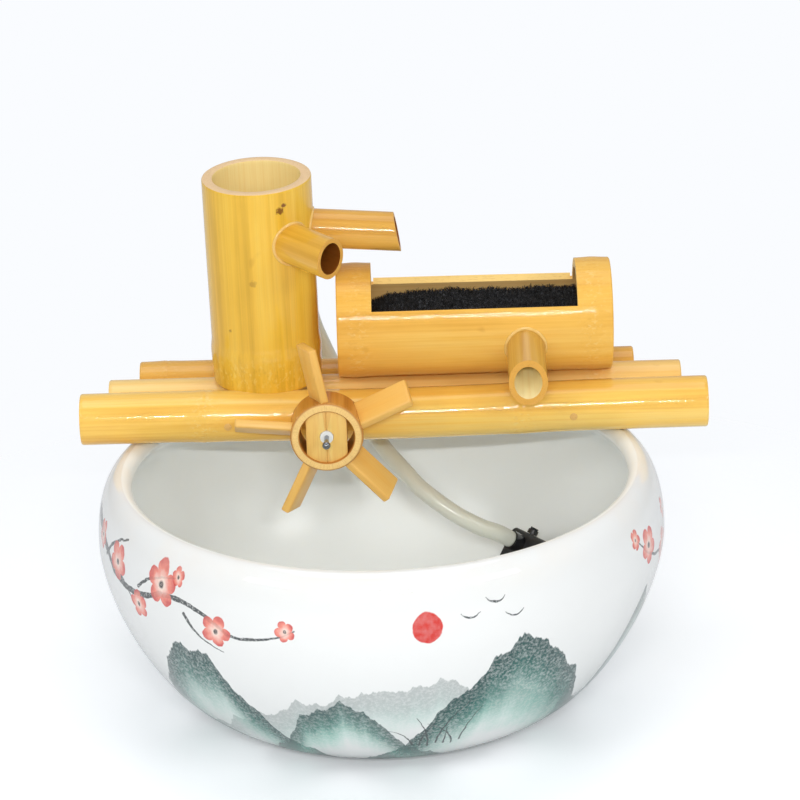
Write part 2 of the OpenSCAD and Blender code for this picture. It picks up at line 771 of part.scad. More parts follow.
cup_stem_d = 4;
suction_in = 2.5;
gland_d = 5;
gland_in = 4;
pump_rear = cover_y - pump_l;
knob_up = 3;
knob_place = [pump_w / 2 + rest_gap, outlet_y, pump_axis_z + knob_up];
knob_stem_d = 3;
suction_inset = 6;
cup_places = [for (x = [-suction_x, suction_x],
    y = [pump_rear + suction_inset, cover_y - suction_inset]) [x, y]];

module pump_casing() {
    well = rotor_l + 2 * water_gap;
    color("dimgray") at_pump() difference() {
        rounded_block(pump_rear, pump_l, pump_w, pump_h, pump_round);
        on_motor_axis(cover_y - well, rotor_d + 2 * water_gap, well + 1);
        on_motor_axis(cover_y - well - shaft_sink, shaft_d + 2 * glue_gap, shaft_sink + 1);
        gland_pose() translate([0, 0, -gland_in])
            cylinder(d = gland_d + 2 * glue_gap, h = gland_in + 1);
        for (p = cup_places)
            translate([p.x, p.y, pump_base - 1])
                cylinder(d = cup_stem_d + 2 * glue_gap, h = suction_in + 1.5);
    }
}

// The lid over the impeller, with its intake in front and its port to the outlet
module pump_chamber() {
    color("black") at_pump() difference() {
        on_motor_axis(cover_y + glue_gap, chamber_d, chamber_l - glue_gap);
        on_motor_axis(cover_y - 1, chamber_d - 2 * chamber_wall, chamber_l - chamber_wall + 1);
        on_motor_axis(cover_y + 1, chamber_d / 2, chamber_l + 1);
        translate([outlet_x, outlet_y, pump_axis_z]) cylinder(d = outlet_bore, h = chamber_d);
    }
}

// The cover over the chamber, with its intake slots in front
module pump_cover() {
    inside = pump_h - 2 * pump_wall;
    slots = 5;
    slot_w = 1.6;
    slot_margin = 5;
    slot_l = pump_w - 2 * slot_margin;
    pitch = inside / slots;
    color("black") at_pump() difference() {
        rounded_block(cover_y + glue_gap, cover_l, pump_w, pump_h, pump_round);
        translate([-pump_w / 2 + pump_wall, cover_y - 1, pump_base + pump_wall])
            cube([pump_w - 2 * pump_wall, cover_l + 1 - pump_wall, inside]);
        for (i = [0 : slots - 1])
            translate([-slot_l / 2, cover_y + chamber_l,
                pump_base + pump_wall + (i + 0.5) * pitch - slot_w / 2])
                cube([slot_l, cover_l, slot_w]);
        translate([outlet_x, outlet_y, pump_top - pump_wall - 1])
            cylinder(d = outlet_d + 2 * glue_gap, h = pump_wall + 2);
        translate(knob_place) rotate([0, -90, 0])
            cylinder(d = knob_stem_d + 2 * run_gap, h = 2 * pump_wall);
    }
}

// The outlet, with a collar above the cover and a barb inside the hose
module pump_outlet() {
    barb_l = 10;
    barb_d = outlet_bore + 3;
    foot_z = pump_top - pump_wall;
    tip_z = pump_top + outlet_l + barb_l;
    color("black") at_pump() translate([outlet_x, outlet_y, 0]) difference() {
        union() {
            translate([0, 0, foot_z]) cylinder(d = outlet_d, h = pump_wall + outlet_l);
            translate([0, 0, foot_z + 1]) cylinder(d = barb_d, h = tip_z - foot_z - 1);
        }
        translate([0, 0, foot_z - 1]) cylinder(d = outlet_bore, h = tip_z - foot_z + 2);
    }
}

module impeller() {
    disc_t = 1.5;
    vane_t = 1.2;
    hub_wall = 1.5;
    color("ivory") at_pump() difference() {
        union() {
            on_motor_axis(cover_y - rotor_l, rotor_d, rotor_l + disc_t);
            on_motor_axis(cover_y + water_gap, impeller_d, disc_t);
            on_motor_axis(cover_y, shaft_d + 2 * hub_wall, water_gap + impeller_l);
            for (i = [0 : vanes - 1])
                translate([0, cover_y + water_gap, pump_axis_z]) rotate([-90, 0, 0])
                    rotate([0, 0, i * 360 / vanes]) translate([0, -vane_t / 2, 0])
                        cube([impeller_d / 2 - vane_t / 2, vane_t, impeller_l]);
        }
        on_motor_axis(cover_y - rotor_l - 1, shaft_d + 2 * run_gap, rotor_l + chamber_l);
    }
}

module impeller_shaft() {
    foot = rotor_l + 2 * water_gap + shaft_sink - glue_gap;
    color("silver") at_pump()
        on_motor_axis(cover_y - foot, shaft_d, foot + water_gap + impeller_l);
}

// A flat-handled knob on the side of the cover that faces up the wall
module flow_knob() {
    knob_d = 7;
    knob_t = 3;
    grip_t = 1.5;
    color("black") at_pump() translate(knob_place) rotate([0, 90, 0]) {
        cylinder(d = knob_d, h = knob_t);
        translate([0, 0, -rest_gap - pump_wall]) cylinder(d = knob_stem_d, h = knob_t + pump_wall);
        translate([-knob_d / 2 + 0.5, -grip_t / 2, 0]) cube([knob_d - 1, grip_t, knob_t + grip_t]);
    }
}

// Four rubber cups, each a stem in the casing and a flared lip
module suction_cups() {
    lift = 1.7;
    lip_t = 1.5;
    neck_r = 3;
    color("darkslategray") at_pump()
        for (p = cup_places)
            translate([p.x, p.y, 0]) rotate_extrude() polygon([[0, lift + lip_t],
                [suction_d / 2 - 1, lift], [suction_d / 2, lift],
                [suction_d / 2 - lip_t, lift + 2], [neck_r, lift + 2 + lip_t],
                [neck_r, pump_base - glue_gap], [cup_stem_d / 2, pump_base - glue_gap],
                [cup_stem_d / 2, pump_base + suction_in], [0, pump_base + suction_in]]);
}

// Along the cable's gland, away from the casing
module gland_pose() {
    translate([0, pump_rear, pump_base + pump_h / 4]) rotate([90, 0, 0]) children();
}

module cable_gland() {
    color("black") at_pump() gland_pose() {
        translate([0, 0, glue_gap - gland_in]) cylinder(d = gland_d, h = gland_in + 1);
        translate([0, 0, glue_gap]) cylinder(d1 = gland_d + 3, d2 = gland_d + 1, h = 5);
    }
}

bowl();
pole_front();
pole_middle();
pole_rear();
dowel(dowel_left_x);  // dowel_left
dowel(dowel_right_x);  // dowel_right
cup();
spout_to_trough();
spout_to_wheel();
cup_screw();
trough();
spout_outlet();
trough_screws();
filter_foam();
wheel_hub();
bridge_front();
bridge_rear();
blade(0);  // blade_1
blade(1);  // blade_2
blade(2);  // blade_3
blade(3);  // blade_4
blade(4);  // blade_5
wheel_bushing();
axle_pin();
axle_spacer();
hose_grommet();
hose();
pump_casing();
pump_cover();
pump_chamber();
pump_outlet();
impeller();
impeller_shaft();
flow_knob();
suction_cups();
cable_gland();
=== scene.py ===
# Bamboo water-wheel fountain: the finish of every piece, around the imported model.
import math

import bmesh
import bpy
from mathutils import Matrix, Vector, noise


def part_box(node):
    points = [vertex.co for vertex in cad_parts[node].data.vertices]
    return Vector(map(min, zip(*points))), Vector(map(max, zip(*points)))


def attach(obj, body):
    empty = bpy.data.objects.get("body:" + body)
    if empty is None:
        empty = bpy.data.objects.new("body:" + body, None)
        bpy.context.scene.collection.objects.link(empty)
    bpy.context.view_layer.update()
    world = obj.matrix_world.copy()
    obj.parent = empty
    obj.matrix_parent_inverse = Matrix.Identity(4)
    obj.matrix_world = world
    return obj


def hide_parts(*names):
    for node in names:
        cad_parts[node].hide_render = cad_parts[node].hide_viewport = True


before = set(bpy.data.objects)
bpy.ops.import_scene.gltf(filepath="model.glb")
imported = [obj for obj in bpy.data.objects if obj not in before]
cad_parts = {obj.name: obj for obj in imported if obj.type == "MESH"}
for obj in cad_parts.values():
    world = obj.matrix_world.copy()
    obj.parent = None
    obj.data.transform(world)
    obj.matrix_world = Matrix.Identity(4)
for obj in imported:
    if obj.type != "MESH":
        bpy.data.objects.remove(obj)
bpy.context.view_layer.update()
scene = bpy.context.scene
scene.view_settings.view_transform = "Standard"
mm = 0.001

# Camera: it stands two metres off with a long lens, as for a catalogue picture. It looks
# down on the bowl and is rolled a little, so that the poles climb to the right.
camera_distance = 2.0
camera_lift = math.radians(21.57)
camera_roll = math.radians(1.73)
camera_target = Vector((0.00395, 0, 0.1942))
lens = bpy.data.cameras.new("camera")
lens.sensor_width = 36
lens.lens = 145.9
camera = bpy.data.objects.new("camera", lens)
scene.collection.objects.link(camera)
away = Vector((0, -math.cos(camera_lift), math.sin(camera_lift)))
upright = Vector((0, math.sin(camera_lift), math.cos(camera_lift)))
side = math.cos(camera_roll) * Vector((1, 0, 0)) - math.sin(camera_roll) * upright
facing = Matrix((side, away.cross(side), away)).transposed()
camera.matrix_world = Matrix.Translation(camera_target + camera_distance * away) @ facing.to_4x4()
scene.camera = camera


# Hose: milky silicone tube, 11 mm outside and 8 mm inside. It leaves the grommet in the
# cup's back, hangs behind the poles and ends on the barb of the pump's outlet.
class Field:
    """A node's output. Sums and products of fields and numbers become math nodes."""

    def __init__(self, socket):
        self.socket = socket
        self.node = socket.node
        self.tree = socket.id_data

    def __getitem__(self, name):
        return Field(self.node.outputs[name])

    def __add__(self, other):
        return calc("ADD", self, other)

    def __sub__(self, other):
        return calc("SUBTRACT", self, other)

    def __rsub__(self, other):
        return calc("SUBTRACT", other, self)

    def __mul__(self, other):
        return calc("MULTIPLY", self, other)

    def __truediv__(self, other):
        return calc("DIVIDE", self, other)


def feed(socket, value):
    """Links a socket to a field, or sets it to a plain value."""
    if isinstance(value, Field):
        socket.id_data.links.new(value.socket, socket)
    else:
        socket.default_value = value


def dress(node, inputs):
    for key, value in inputs.items():
        feed(node.inputs[key], value)


def put(tree, kind, inputs=None, **settings):
    """A new node as the field of its first output, or the node itself where it has none."""
    made = tree.nodes.new(kind)
    for key, value in settings.items():
        setattr(made, key, value)
    dress(made, inputs or {})
    return Field(made.outputs[0]) if made.outputs else made


def calc(operation, *values, kind="ShaderNodeMath"):
    tree = next(value.tree for value in values if isinstance(value, Field))
    return put(tree, kind, dict(enumerate(values)), operation=operation)


def vector_calc(operation, *values):
    return calc(operation, *values, kind="ShaderNodeVectorMath")


def combine(tree, **parts):
    return put(tree, "ShaderNodeCombineXYZ", parts)


def split(vector):
    return put(vector.tree, "ShaderNodeSeparateXYZ", {"Vector": vector})


def noise_of(vector, scale, detail=3.0, roughness=0.5):
    return put(vector.tree, "ShaderNodeTexNoise",
               {"Vector": vector, "Scale": scale, "Detail": detail, "Roughness": roughness})


def ease(value, low, high):
    """Rises smoothly from 0 to 1 while value goes from low to high."""
    return put(value.tree, "ShaderNodeMapRange", {"Value": value, "From Min": low, "From Max": high},
               interpolation_type="SMOOTHSTEP")


def blend(factor, below, above):
    """A colour between two, by a field from 0 to 1."""
    return put(factor.tree, "ShaderNodeMix", {0: factor, 6: below, 7: above}, data_type="RGBA")[2]


def relief(shader, height, depth, below=None):
    """Raises a surface by height times depth, in metres."""
    made = put(height.tree, "ShaderNodeBump", {"Height": height, "Distance": depth, "Strength": 1.0})
    if below is not None:
        feed(made.node.inputs["Normal"], below)
    feed(shader.inputs["Normal"], made)
    return made


def tone(red, green, blue):
    """A colour given as it is seen on a screen, from 0 to 255, as a shader takes it."""
    linear = [((c / 255 + 0.055) / 1.055) ** 2.4 for c in (red, green, blue)]
    return (*linear, 1.0)


def new_material(name):
    """An empty material, its tree, the shader that ends it and the field of its places."""
    made = bpy.data.materials.new(name)
    made.use_nodes = True
    tree = made.node_tree
    tree.nodes.clear()
    shader = put(tree, "ShaderNodeBsdfPrincipled")
    put(tree, "ShaderNodeOutputMaterial", {"Surface": shader})
    return made, tree, shader.node, put(tree, "ShaderNodeTexCoord")["Object"]


def link_object(name, data):
    made = bpy.data.objects.new(name, data)
    scene.collection.objects.link(made)
    return made


def geometry_tree(name, inputs):
    """A geometry tree with one input for each name given, its inputs and their identifiers."""
    tree = bpy.data.node_groups.new(name, "GeometryNodeTree")
    tree.interface.new_socket("Geometry", in_out="INPUT", socket_type="NodeSocketGeometry")
    tree.interface.new_socket("Geometry", in_out="OUTPUT", socket_type="NodeSocketGeometry")
    known = {}
    for label, kind in inputs.items():
        socket = tree.interface.new_socket(label, in_out="INPUT", socket_type="NodeSocket" + kind)
        known[label] = socket.identifier
    return tree, put(tree, "NodeGroupInput"), known


def settled_mesh(piece):
    """The plain mesh that a piece's modifiers make."""
    bpy.context.view_layer.update()
    return bpy.data.meshes.new_from_object(piece.evaluated_get(bpy.context.evaluated_depsgraph_get()))


def settle(piece):
    mesh = settled_mesh(piece)
    piece.modifiers.clear()
    piece.data = mesh
    return piece


def grown(name, source, tree, known, values):
    """What a geometry tree makes of an object, as a new plain object."""
    modifier = source.modifiers.new(name, "NODES")
    modifier.node_group = tree
    for label, value in values.items():
        modifier[known[label]] = value
    mesh = settled_mesh(source)
    bpy.data.objects.remove(source)
    return link_object(name, mesh)


def finish(piece, material, body, slot, *nodes):
    """Gives a piece its material and its body, and hides the nodes that it replaces. The slot is not used."""
    piece.data.materials.clear()
    piece.data.materials.append(material)
    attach(piece, body)
    if nodes:
        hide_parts(*nodes)


hose_d = 11 * mm
hose_wall = 1.5 * mm
hose_start = (-0.07129, 0.11522, 0.2569)
hose_end = (0.07317, 0.07645, 0.06405)
hose_route = [hose_start, (-0.06922, 0.12294, 0.2569), (-0.0654, 0.1338, 0.2554),
              (-0.0624, 0.1442, 0.2507), (-0.0599, 0.1535, 0.2432), (-0.058, 0.1604, 0.2335),
              (-0.0566, 0.1643, 0.222), (-0.0556, 0.165, 0.21), (-0.0544, 0.1626, 0.1985),
              (-0.0515, 0.1578, 0.1875), (-0.0465, 0.152, 0.1765), (-0.041, 0.146, 0.1655),
              (-0.035, 0.1402, 0.155), (-0.0285, 0.134, 0.145), (-0.0218, 0.1258, 0.1362),
              (-0.0146, 0.1152, 0.1272), (-0.0069, 0.104, 0.1187), (0.0058, 0.0895, 0.1085),
              (0.0143, 0.0815, 0.1012), (0.0255, 0.0755, 0.0933), (0.0372, 0.0715, 0.0856),
              (0.046, 0.0704, 0.0804), (0.0548, 0.0705, 0.0754), (0.0646, 0.0719, 0.071), hose_end]
hose_steps = 6


def smooth_path(points, steps):
    """Points along the smooth curve through the points given."""
    points = [Vector(p) for p in points]
    path = []
    for i in range(len(points) - 1):
        a, b, c, d = (points[max(0, min(k, len(points) - 1))] for k in range(i - 1, i + 3))
        for t in (k / steps for k in range(steps)):
            path.append(0.5 * (2 * b + (c - a) * t + (2 * a - 5 * b + 4 * c - d) * t ** 2
                               + (3 * b - a - 3 * c + d) * t ** 3))
    return path + [points[-1]]


silicone, tree, shader, space = new_material("milky silicone")
dress(shader, {"Base Color": blend(noise_of(space, 60.0), tone(244, 246, 230), tone(252, 252, 240)),
               "Roughness": 0.28, "IOR": 1.41, "Transmission Weight": 0.3,
               "Coat Weight": 0.4, "Coat Roughness": 0.12})
relief(shader, noise_of(space, 350.0, 2.0), 0.02 * mm)

pipe_tree, pipe_in, pipe_inputs = geometry_tree("pipe along a path", {"Radius": "Float"})
pipe_ring = put(pipe_tree, "GeometryNodeCurvePrimitiveCircle",
                {"Resolution": 32, "Radius": pipe_in["Radius"]})
pipe_skin = put(pipe_tree, "GeometryNodeCurveToMesh",
                {"Curve": pipe_in["Geometry"], "Profile Curve": pipe_ring})
pipe_soft = put(pipe_tree, "GeometryNodeSetShadeSmooth", {"Geometry": pipe_skin})
put(pipe_tree, "NodeGroupOutput", {"Geometry": pipe_soft})


def pipe(name, path, radius):
    """A round bar along a path."""
    curve = bpy.data.curves.new(name, "CURVE")
    curve.dimensions = "3D"
    spline = curve.splines.new("POLY")
    spline.points.add(len(path) - 1)
    for point, place in zip(spline.points, path):
        point.co = (*place, 1)
    return grown(name, link_object(name + "_path", curve), pipe_tree, pipe_inputs, {"Radius": radius})


hose_path = smooth_path(hose_route, hose_steps)
hose = pipe("silicone_hose", hose_path, hose_d / 2)
wall = hose.modifiers.new("wall", "SOLIDIFY")
wall.thickness = hose_wall
wall.offset = -1
settle(hose)
finish(hose, silicone, "fountain_head", "clear_silicone", "hose")


# Bowl: thrown porcelain, painted under a clear glaze. It stands on a foot ring that is
# wiped bare of glaze, swells to a shoulder and closes to a rolled lip.
def solid(name, points, faces, place=None):
    """A closed mesh object whose faces point outwards."""
    mesh = bpy.data.meshes.new(name)
    mesh.from_pydata([(place or Matrix()) @ Vector(p) for p in points], [], faces)
    form = bmesh.new()
    form.from_mesh(mesh)
    bmesh.ops.recalc_face_normals(form, faces=form.faces)
    form.to_mesh(mesh)
    form.free()
    return link_object(name, mesh)


def turned(name, outline, turns, place=None, wobble=None, on_axis=True):
    """A form of revolution about its own Z, from (radius, height) points.

    The outline starts and ends on the axis, or else runs round a closed ring. wobble moves
    a point of the form, given as (x, y, z), to where it is on the real piece.
    """
    angles = [2 * math.pi * k / turns for k in range(turns)]
    ring = outline[1:-1] if on_axis else outline
    points = [(radius * math.cos(a), radius * math.sin(a), height) for radius, height in ring for a in angles]
    rows = len(ring)
    faces = []
    for i in range(rows - 1 if on_axis else rows):
        for k in range(turns):
            a, b = i * turns + k, i * turns + (k + 1) % turns
            c, d = (i + 1) % rows * turns + k, (i + 1) % rows * turns + (k + 1) % turns
            faces.append((a, b, d, c))
    if on_axis:
        low, high = len(points), len(points) + 1
        points += [(0, 0, outline[0][1]), (0, 0, outline[-1][1])]
        top = (rows - 1) * turns
        for k in range(turns):
            faces.append((low, (k + 1) % turns, k))
            faces.append((high, top + k, top + (k + 1) % turns))
    if wobble:
        points = [wobble(Vector(p)) for p in points]
    return solid(name, points, faces, place)


def smooth_faces(piece, sharp=35):
    piece.data.shade_smooth()
    piece.data.set_sharp_from_angle(angle=math.radians(sharp))


def arc(radius, height, bend, start, stop, steps):
    """Points of an outline round a bend, from one angle to another in degrees."""
    return [(radius + bend * math.cos(a), height + bend * math.sin(a))
            for a in (math.radians(start + (stop - start) * i / steps) for i in range(steps + 1))]


def bezier(a, b, c, d, t):
    return tuple(p * (1 - t) ** 3 + 3 * q * t * (1 - t) ** 2 + 3 * r * t * t * (1 - t) + s * t ** 3
                 for p, q, r, s in zip(a, b, c, d))


def span(a, b, c, d, steps):
    """Points along a curve, without its first one."""
    return [bezier(a, b, c, d, i / steps) for i in range(1, steps + 1)]


bowl_low, bowl_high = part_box("bowl")
bowl_x = (bowl_low.x + bowl_high.x) / 2
bowl_r = (bowl_high.x - bowl_low.x) / 2
bowl_h = bowl_high.z
shoulder_z = bowl_h - 41 * mm
lip_c = 160.5 * mm
lip_r = 6.5 * mm
bowl_wall = 7 * mm
inside_r = bowl_r - bowl_wall
foot_r = 99 * mm
foot_w = 9 * mm
foot_h = 3 * mm
foot_in = foot_r - foot_w
wall_pull = 44 * mm
wall_lift = 30 * mm
bowl_turns = 192

wall_ends = ((foot_r, foot_h), (foot_r + wall_pull, foot_h + 1 * mm),
             (bowl_r, shoulder_z - wall_lift), (bowl_r, shoulder_z))
foot = [(0, foot_h), (foot_in - 1 * mm, foot_h), (foot_in + 0.5 * mm, 0.6 * mm), (foot_in + 1.5 * mm, 0),
        (foot_r - 1.5 * mm, 0), (foot_r - 0.4 * mm, 0.6 * mm), (foot_r, 1.4 * mm)]
outer_wall = [wall_ends[0]] + span(*wall_ends, 48)
outer_shoulder = span(wall_ends[3], (bowl_r, shoulder_z + 31 * mm), (lip_c + lip_r, bowl_h),
                      (lip_c, bowl_h), 24)
lip = arc(lip_c, bowl_h - lip_r, lip_r, 90, 190, 16)[1:]
inner_shoulder = span(lip[-1], (lip_c - lip_r + 3 * mm, bowl_h - 2.2 * lip_r),
                      (inside_r, shoulder_z + 22 * mm), (inside_r, shoulder_z), 24)


def wall_inside(t):
    """A point of the inner wall, a wall's thickness in from the outer one."""
    (r0, z0), (r1, z1) = bezier(*wall_ends, t - 0.002), bezier(*wall_ends, t + 0.002)
    r, z = bezier(*wall_ends, t)
    run = math.hypot(r1 - r0, z1 - z0)
    return r - bowl_wall * (z1 - z0) / run, z + bowl_wall * (r1 - r0) / run


inner_wall = [wall_inside(1 - i / 48) for i in range(1, 49)]
outside_rows = len(foot) + len(outer_wall) + len(outer_shoulder)
bowl_outline = (foot + outer_wall + outer_shoulder + lip + inner_shoulder + inner_wall
                + [(0, foot_h + bowl_wall)])
throwing = 0.35 * mm


def by_hand(point):
    """The slight unevenness that the thrower's hands leave."""
    push = throwing * noise.noise(Vector((point.x * 6, point.y * 6, point.z * 14)))
    flat = Vector((point.x, point.y, 0))
    return point + flat.normalized() * push if flat.length > foot_r else point


bowl = turned("glazed_bowl", bowl_outline, bowl_turns, Matrix.Translation((bowl_x, 0, 0)), by_hand)
smooth_faces(bowl, 60)
outside = bowl.data.attributes.new("outside", "FLOAT", "POINT")
outside.data.foreach_set("value", [1.0 if i < (outside_rows - 1) * bowl_turns else 0.0
                                   for i in range(len(bowl.data.vertices))])


# Bowl's painting: a generic one in brush and wash. Teal hills fade down into mist, and a
# branch with small red blossoms crosses above them. The same scene is on the back.
def ramp(tree, first, middle, last):
    """A colour that runs through three stops, each a place and a tone.

    Its factor is fed after it is made: in that order the bowl's large shader fits the stack
    of the renderer, and otherwise it turns black.
    """
    made = put(tree, "ShaderNodeValToRGB")
    row = made.node.color_ramp.elements
    for element, (place, colour) in zip(row, (first, last)):
        element.position = place
        element.color = tone(*colour)
    row.new(middle[0]).color = tone(*middle[1])
    return made


def stored(tree, name, output="Fac"):
    """What a mesh remembers under a name."""
    return put(tree, "ShaderNodeAttribute", attribute_name=name)[output]


glaze, tree, shader, space = new_material("painted porcelain under clear glaze")
parts = split(space)
left_right = parts["X"] - bowl_x
radius = calc("SQRT", left_right * left_right + parts["Y"] * parts["Y"])
turn = calc("ARCTAN2", left_right, parts["Y"] * -1.0)
half_round = math.pi * bowl_r / 2
across = calc("WRAP", turn * bowl_r, half_round, -half_round)
up = parts["Z"] - (bowl_r - radius) * 0.7
tremble = put(tree, "ShaderNodeTexNoise", {"Vector": space, "Scale": 160.0, "Detail": 2.0})["Color"]
shiver = vector_calc("SCALE", vector_calc("SUBTRACT", tremble, (0.5, 0.5, 0.5)))
feed(shiver.node.inputs["Scale"], 2.2 * mm)
brush_point = vector_calc("ADD", combine(tree, X=across, Y=up), shiver)

# Each hill is a heap under a ragged skyline, darkest where the loaded brush touched first
grain_of_wash = noise_of(space, 520.0, 4.0, 0.75)
cloud = noise_of(space, 26.0, 3.0, 0.6)
skyline = noise_of(combine(tree, X=across), 42.0, 4.0, 0.55)
hill_base = 0.035
hills = [  # middle, half width, height of the top, depth of the wash, strength
    (0.02, 0.16, 0.078, 0.05, 0.45), (-0.130, 0.055, 0.096, 0.075, 1.0), (0.205, 0.036, 0.088, 0.06, 0.85),
    (0.088, 0.070, 0.104, 0.085, 1.0), (-0.030, 0.050, 0.062, 0.05, 0.9), (-0.225, 0.030, 0.075, 0.05, 0.85)]
picture = tone(241, 242, 240)
for middle, width, top, depth, strength in hills:
    away_from = calc("POWER", calc("ABSOLUTE", (across - middle) / width), 2.0)
    heap = calc("EXPONENT", away_from * -1.0)
    under = heap * (top + hill_base) + (skyline - 0.5) * 0.055 - hill_base - up
    fading = 1.0 - ease(under + (cloud - 0.5) * 0.05, depth * 0.25, depth * 1.25)
    speckle = ease(grain_of_wash, 0.36, 0.58) * 0.34 + 0.66
    amount = ease(under, 0.0, 1.6 * mm) * fading * speckle * strength
    wash = ramp(tree, (0, (6, 64, 62)), (0.45, (30, 116, 104)), (1, (140, 212, 192)))
    feed(wash.node.inputs["Fac"], ease(under, -0.004, depth))
    picture = blend(amount, picture, wash)


# Strokes of ink: a brush pressed down at one end and lifted at the other
def shader_group(name, inputs, outputs):
    group = bpy.data.node_groups.new(name, "ShaderNodeTree")
    for label, kind in inputs.items():
        group.interface.new_socket(label, in_out="INPUT", socket_type="NodeSocket" + kind)
    for label in outputs:
        group.interface.new_socket(label, in_out="OUTPUT", socket_type="NodeSocketFloat")
    return group, put(group, "NodeGroupInput")


brush, given = shader_group(
    "brush stroke", {"Point": "Vector", "Start": "Vector", "End": "Vector", "Bow": "Float",
                     "Start Width": "Float", "End Width": "Float"}, ["Ink"])
run = vector_calc("SUBTRACT", given["End"], given["Start"])
gone = vector_calc("SUBTRACT", given["Point"], given["Start"])
whole = vector_calc("DOT_PRODUCT", run, run)["Value"]
reach = vector_calc("DOT_PRODUCT", gone, run)["Value"] / whole
run_length = calc("SQRT", whole)
along = put(brush, "ShaderNodeClamp", {"Value": reach})
offset = split(vector_calc("CROSS_PRODUCT", run, gone))["Z"] / run_length
aside = offset - along * (1.0 - along) * given["Bow"] * 4.0
beyond = (reach - along) * run_length
distance = calc("SQRT", aside * aside + beyond * beyond)
half_width = given["Start Width"] * (1.0 - along) + given["End Width"] * along
put(brush, "NodeGroupOutput", {"Ink": ease(half_width - distance, -0.25 * mm, 0.25 * mm)})

branches = [  # start, end, bow, half widths at the start and the end, in metres
    ((-0.262, 0.133), (-0.205, 0.116), 0.004, 0.0030, 0.0022),
    ((-0.205, 0.116), (-0.150, 0.121), -0.005, 0.0022, 0.0017),
    ((-0.150, 0.121), (-0.095, 0.109), 0.006, 0.0017, 0.0010),
    ((-0.095, 0.109), (-0.052, 0.119), -0.003, 0.0010, 0.0004),
    ((-0.222, 0.121), (-0.190, 0.138), 0.003, 0.0013, 0.0004),
    ((-0.172, 0.119), (-0.136, 0.133), 0.003, 0.0011, 0.0003),
    ((-0.128, 0.115), (-0.100, 0.096), -0.003, 0.0011, 0.0003),
    ((-0.195, 0.117), (-0.176, 0.102), 0.002, 0.0010, 0.0003),
    ((0.262, 0.086), (0.222, 0.111), -0.005, 0.0018, 0.0011),
    ((0.222, 0.111), (0.190, 0.130), 0.003, 0.0011, 0.0004),
    ((0.232, 0.105), (0.250, 0.126), 0.002, 0.0010, 0.0003)]
reeds = [(0.018 + 0.006 * i, 0.006 - 0.002 * (i % 3), 0.024 + 0.009 * ((i * 5) % 4),
          0.010 * ((i * 3) % 5 - 2)) for i in range(7)]
strokes = branches + [((x, low), (x + lean, low + tall), lean * 0.25, 0.0008, 0.0002)
                      for x, low, tall, lean in reeds]
for x, y in ((0.052, 0.124), (0.068, 0.130), (0.080, 0.121)):
    strokes += [((x, y), (x - 0.006, y + 0.0025), 0.0008, 0.0006, 0.0002),
                ((x, y), (x + 0.006, y + 0.0022), -0.0008, 0.0006, 0.0002)]
ink = 0.0
for start, stop, bow, first, last in strokes:
    ink = calc("MAXIMUM", ink, put(tree, "ShaderNodeGroup", {
        "Point": brush_point, "Start": (*start, 0), "End": (*stop, 0), "Bow": bow,
        "Start Width": first, "End Width": last}, node_tree=brush))

# Blossoms: five round petals, red at the rim and pale at the heart, with a dot of ink
blossom, given = shader_group(
    "blossom", {"Point": "Vector", "Middle": "Vector", "Size": "Float", "Turn": "Float"},
    ["Petal", "Reach"])
gone = vector_calc("SUBTRACT", given["Point"], given["Middle"])
out = vector_calc("LENGTH", gone)["Value"]
arm = split(gone)
angle = calc("ARCTAN2", arm["Y"], arm["X"]) + given["Turn"]
lobe = calc("ABSOLUTE", calc("COSINE", angle * 2.5))
petal_edge = given["Size"] * (calc("POWER", lobe, 0.6) * 0.38 + 0.62)
put(blossom, "NodeGroupOutput",
    {"Petal": ease(petal_edge - out, -0.2 * mm, 0.3 * mm), "Reach": out / given["Size"]})

blossoms = [  # middle, size, turn
    ((-0.200, 0.124), 0.0115, 0.3), ((-0.148, 0.127), 0.0130, 1.0), ((-0.104, 0.110), 0.0105, 0.1),
    ((-0.172, 0.107), 0.0095, 0.7), ((-0.058, 0.118), 0.0065, 0.5), ((-0.234, 0.128), 0.0085, 0.2),
    ((-0.134, 0.134), 0.0052, 0.9), ((0.206, 0.122), 0.0110, 0.4), ((0.240, 0.108), 0.0125, 0.8),
    ((0.250, 0.128), 0.0062, 0.6), ((0.188, 0.131), 0.0056, 0.1)]
wetness = noise_of(space, 240.0)
for middle, size, turn in blossoms:
    petal = put(tree, "ShaderNodeGroup", {"Point": brush_point, "Middle": (*middle, 0), "Size": size,
                                          "Turn": turn}, node_tree=blossom)
    tint = ramp(tree, (0.15, (254, 226, 212)), (0.62, (242, 132, 112)), (1, (206, 44, 40)))
    feed(tint.node.inputs["Fac"], petal["Reach"] + (wetness - 0.5) * 0.7)
    picture = blend(petal * 0.92, picture, tint)
    ink = calc("MAXIMUM", ink * (1.0 - petal * 0.8), 1.0 - ease(petal["Reach"], 0.10, 0.22))
from_sun = vector_calc("DISTANCE", brush_point, (0.026, 0.121, 0))["Value"]
sun = 1.0 - ease(from_sun, 8.4 * mm, 9.2 * mm)
picture = blend(sun * (wetness * 0.4 + 0.74), picture, tone(214, 44, 32))
dry_brush = ease(noise_of(space, 700.0, 2.0, 0.8), 0.30, 0.52)
picture = blend(ink * (dry_brush * 0.5 + 0.45), picture, tone(38, 48, 50))

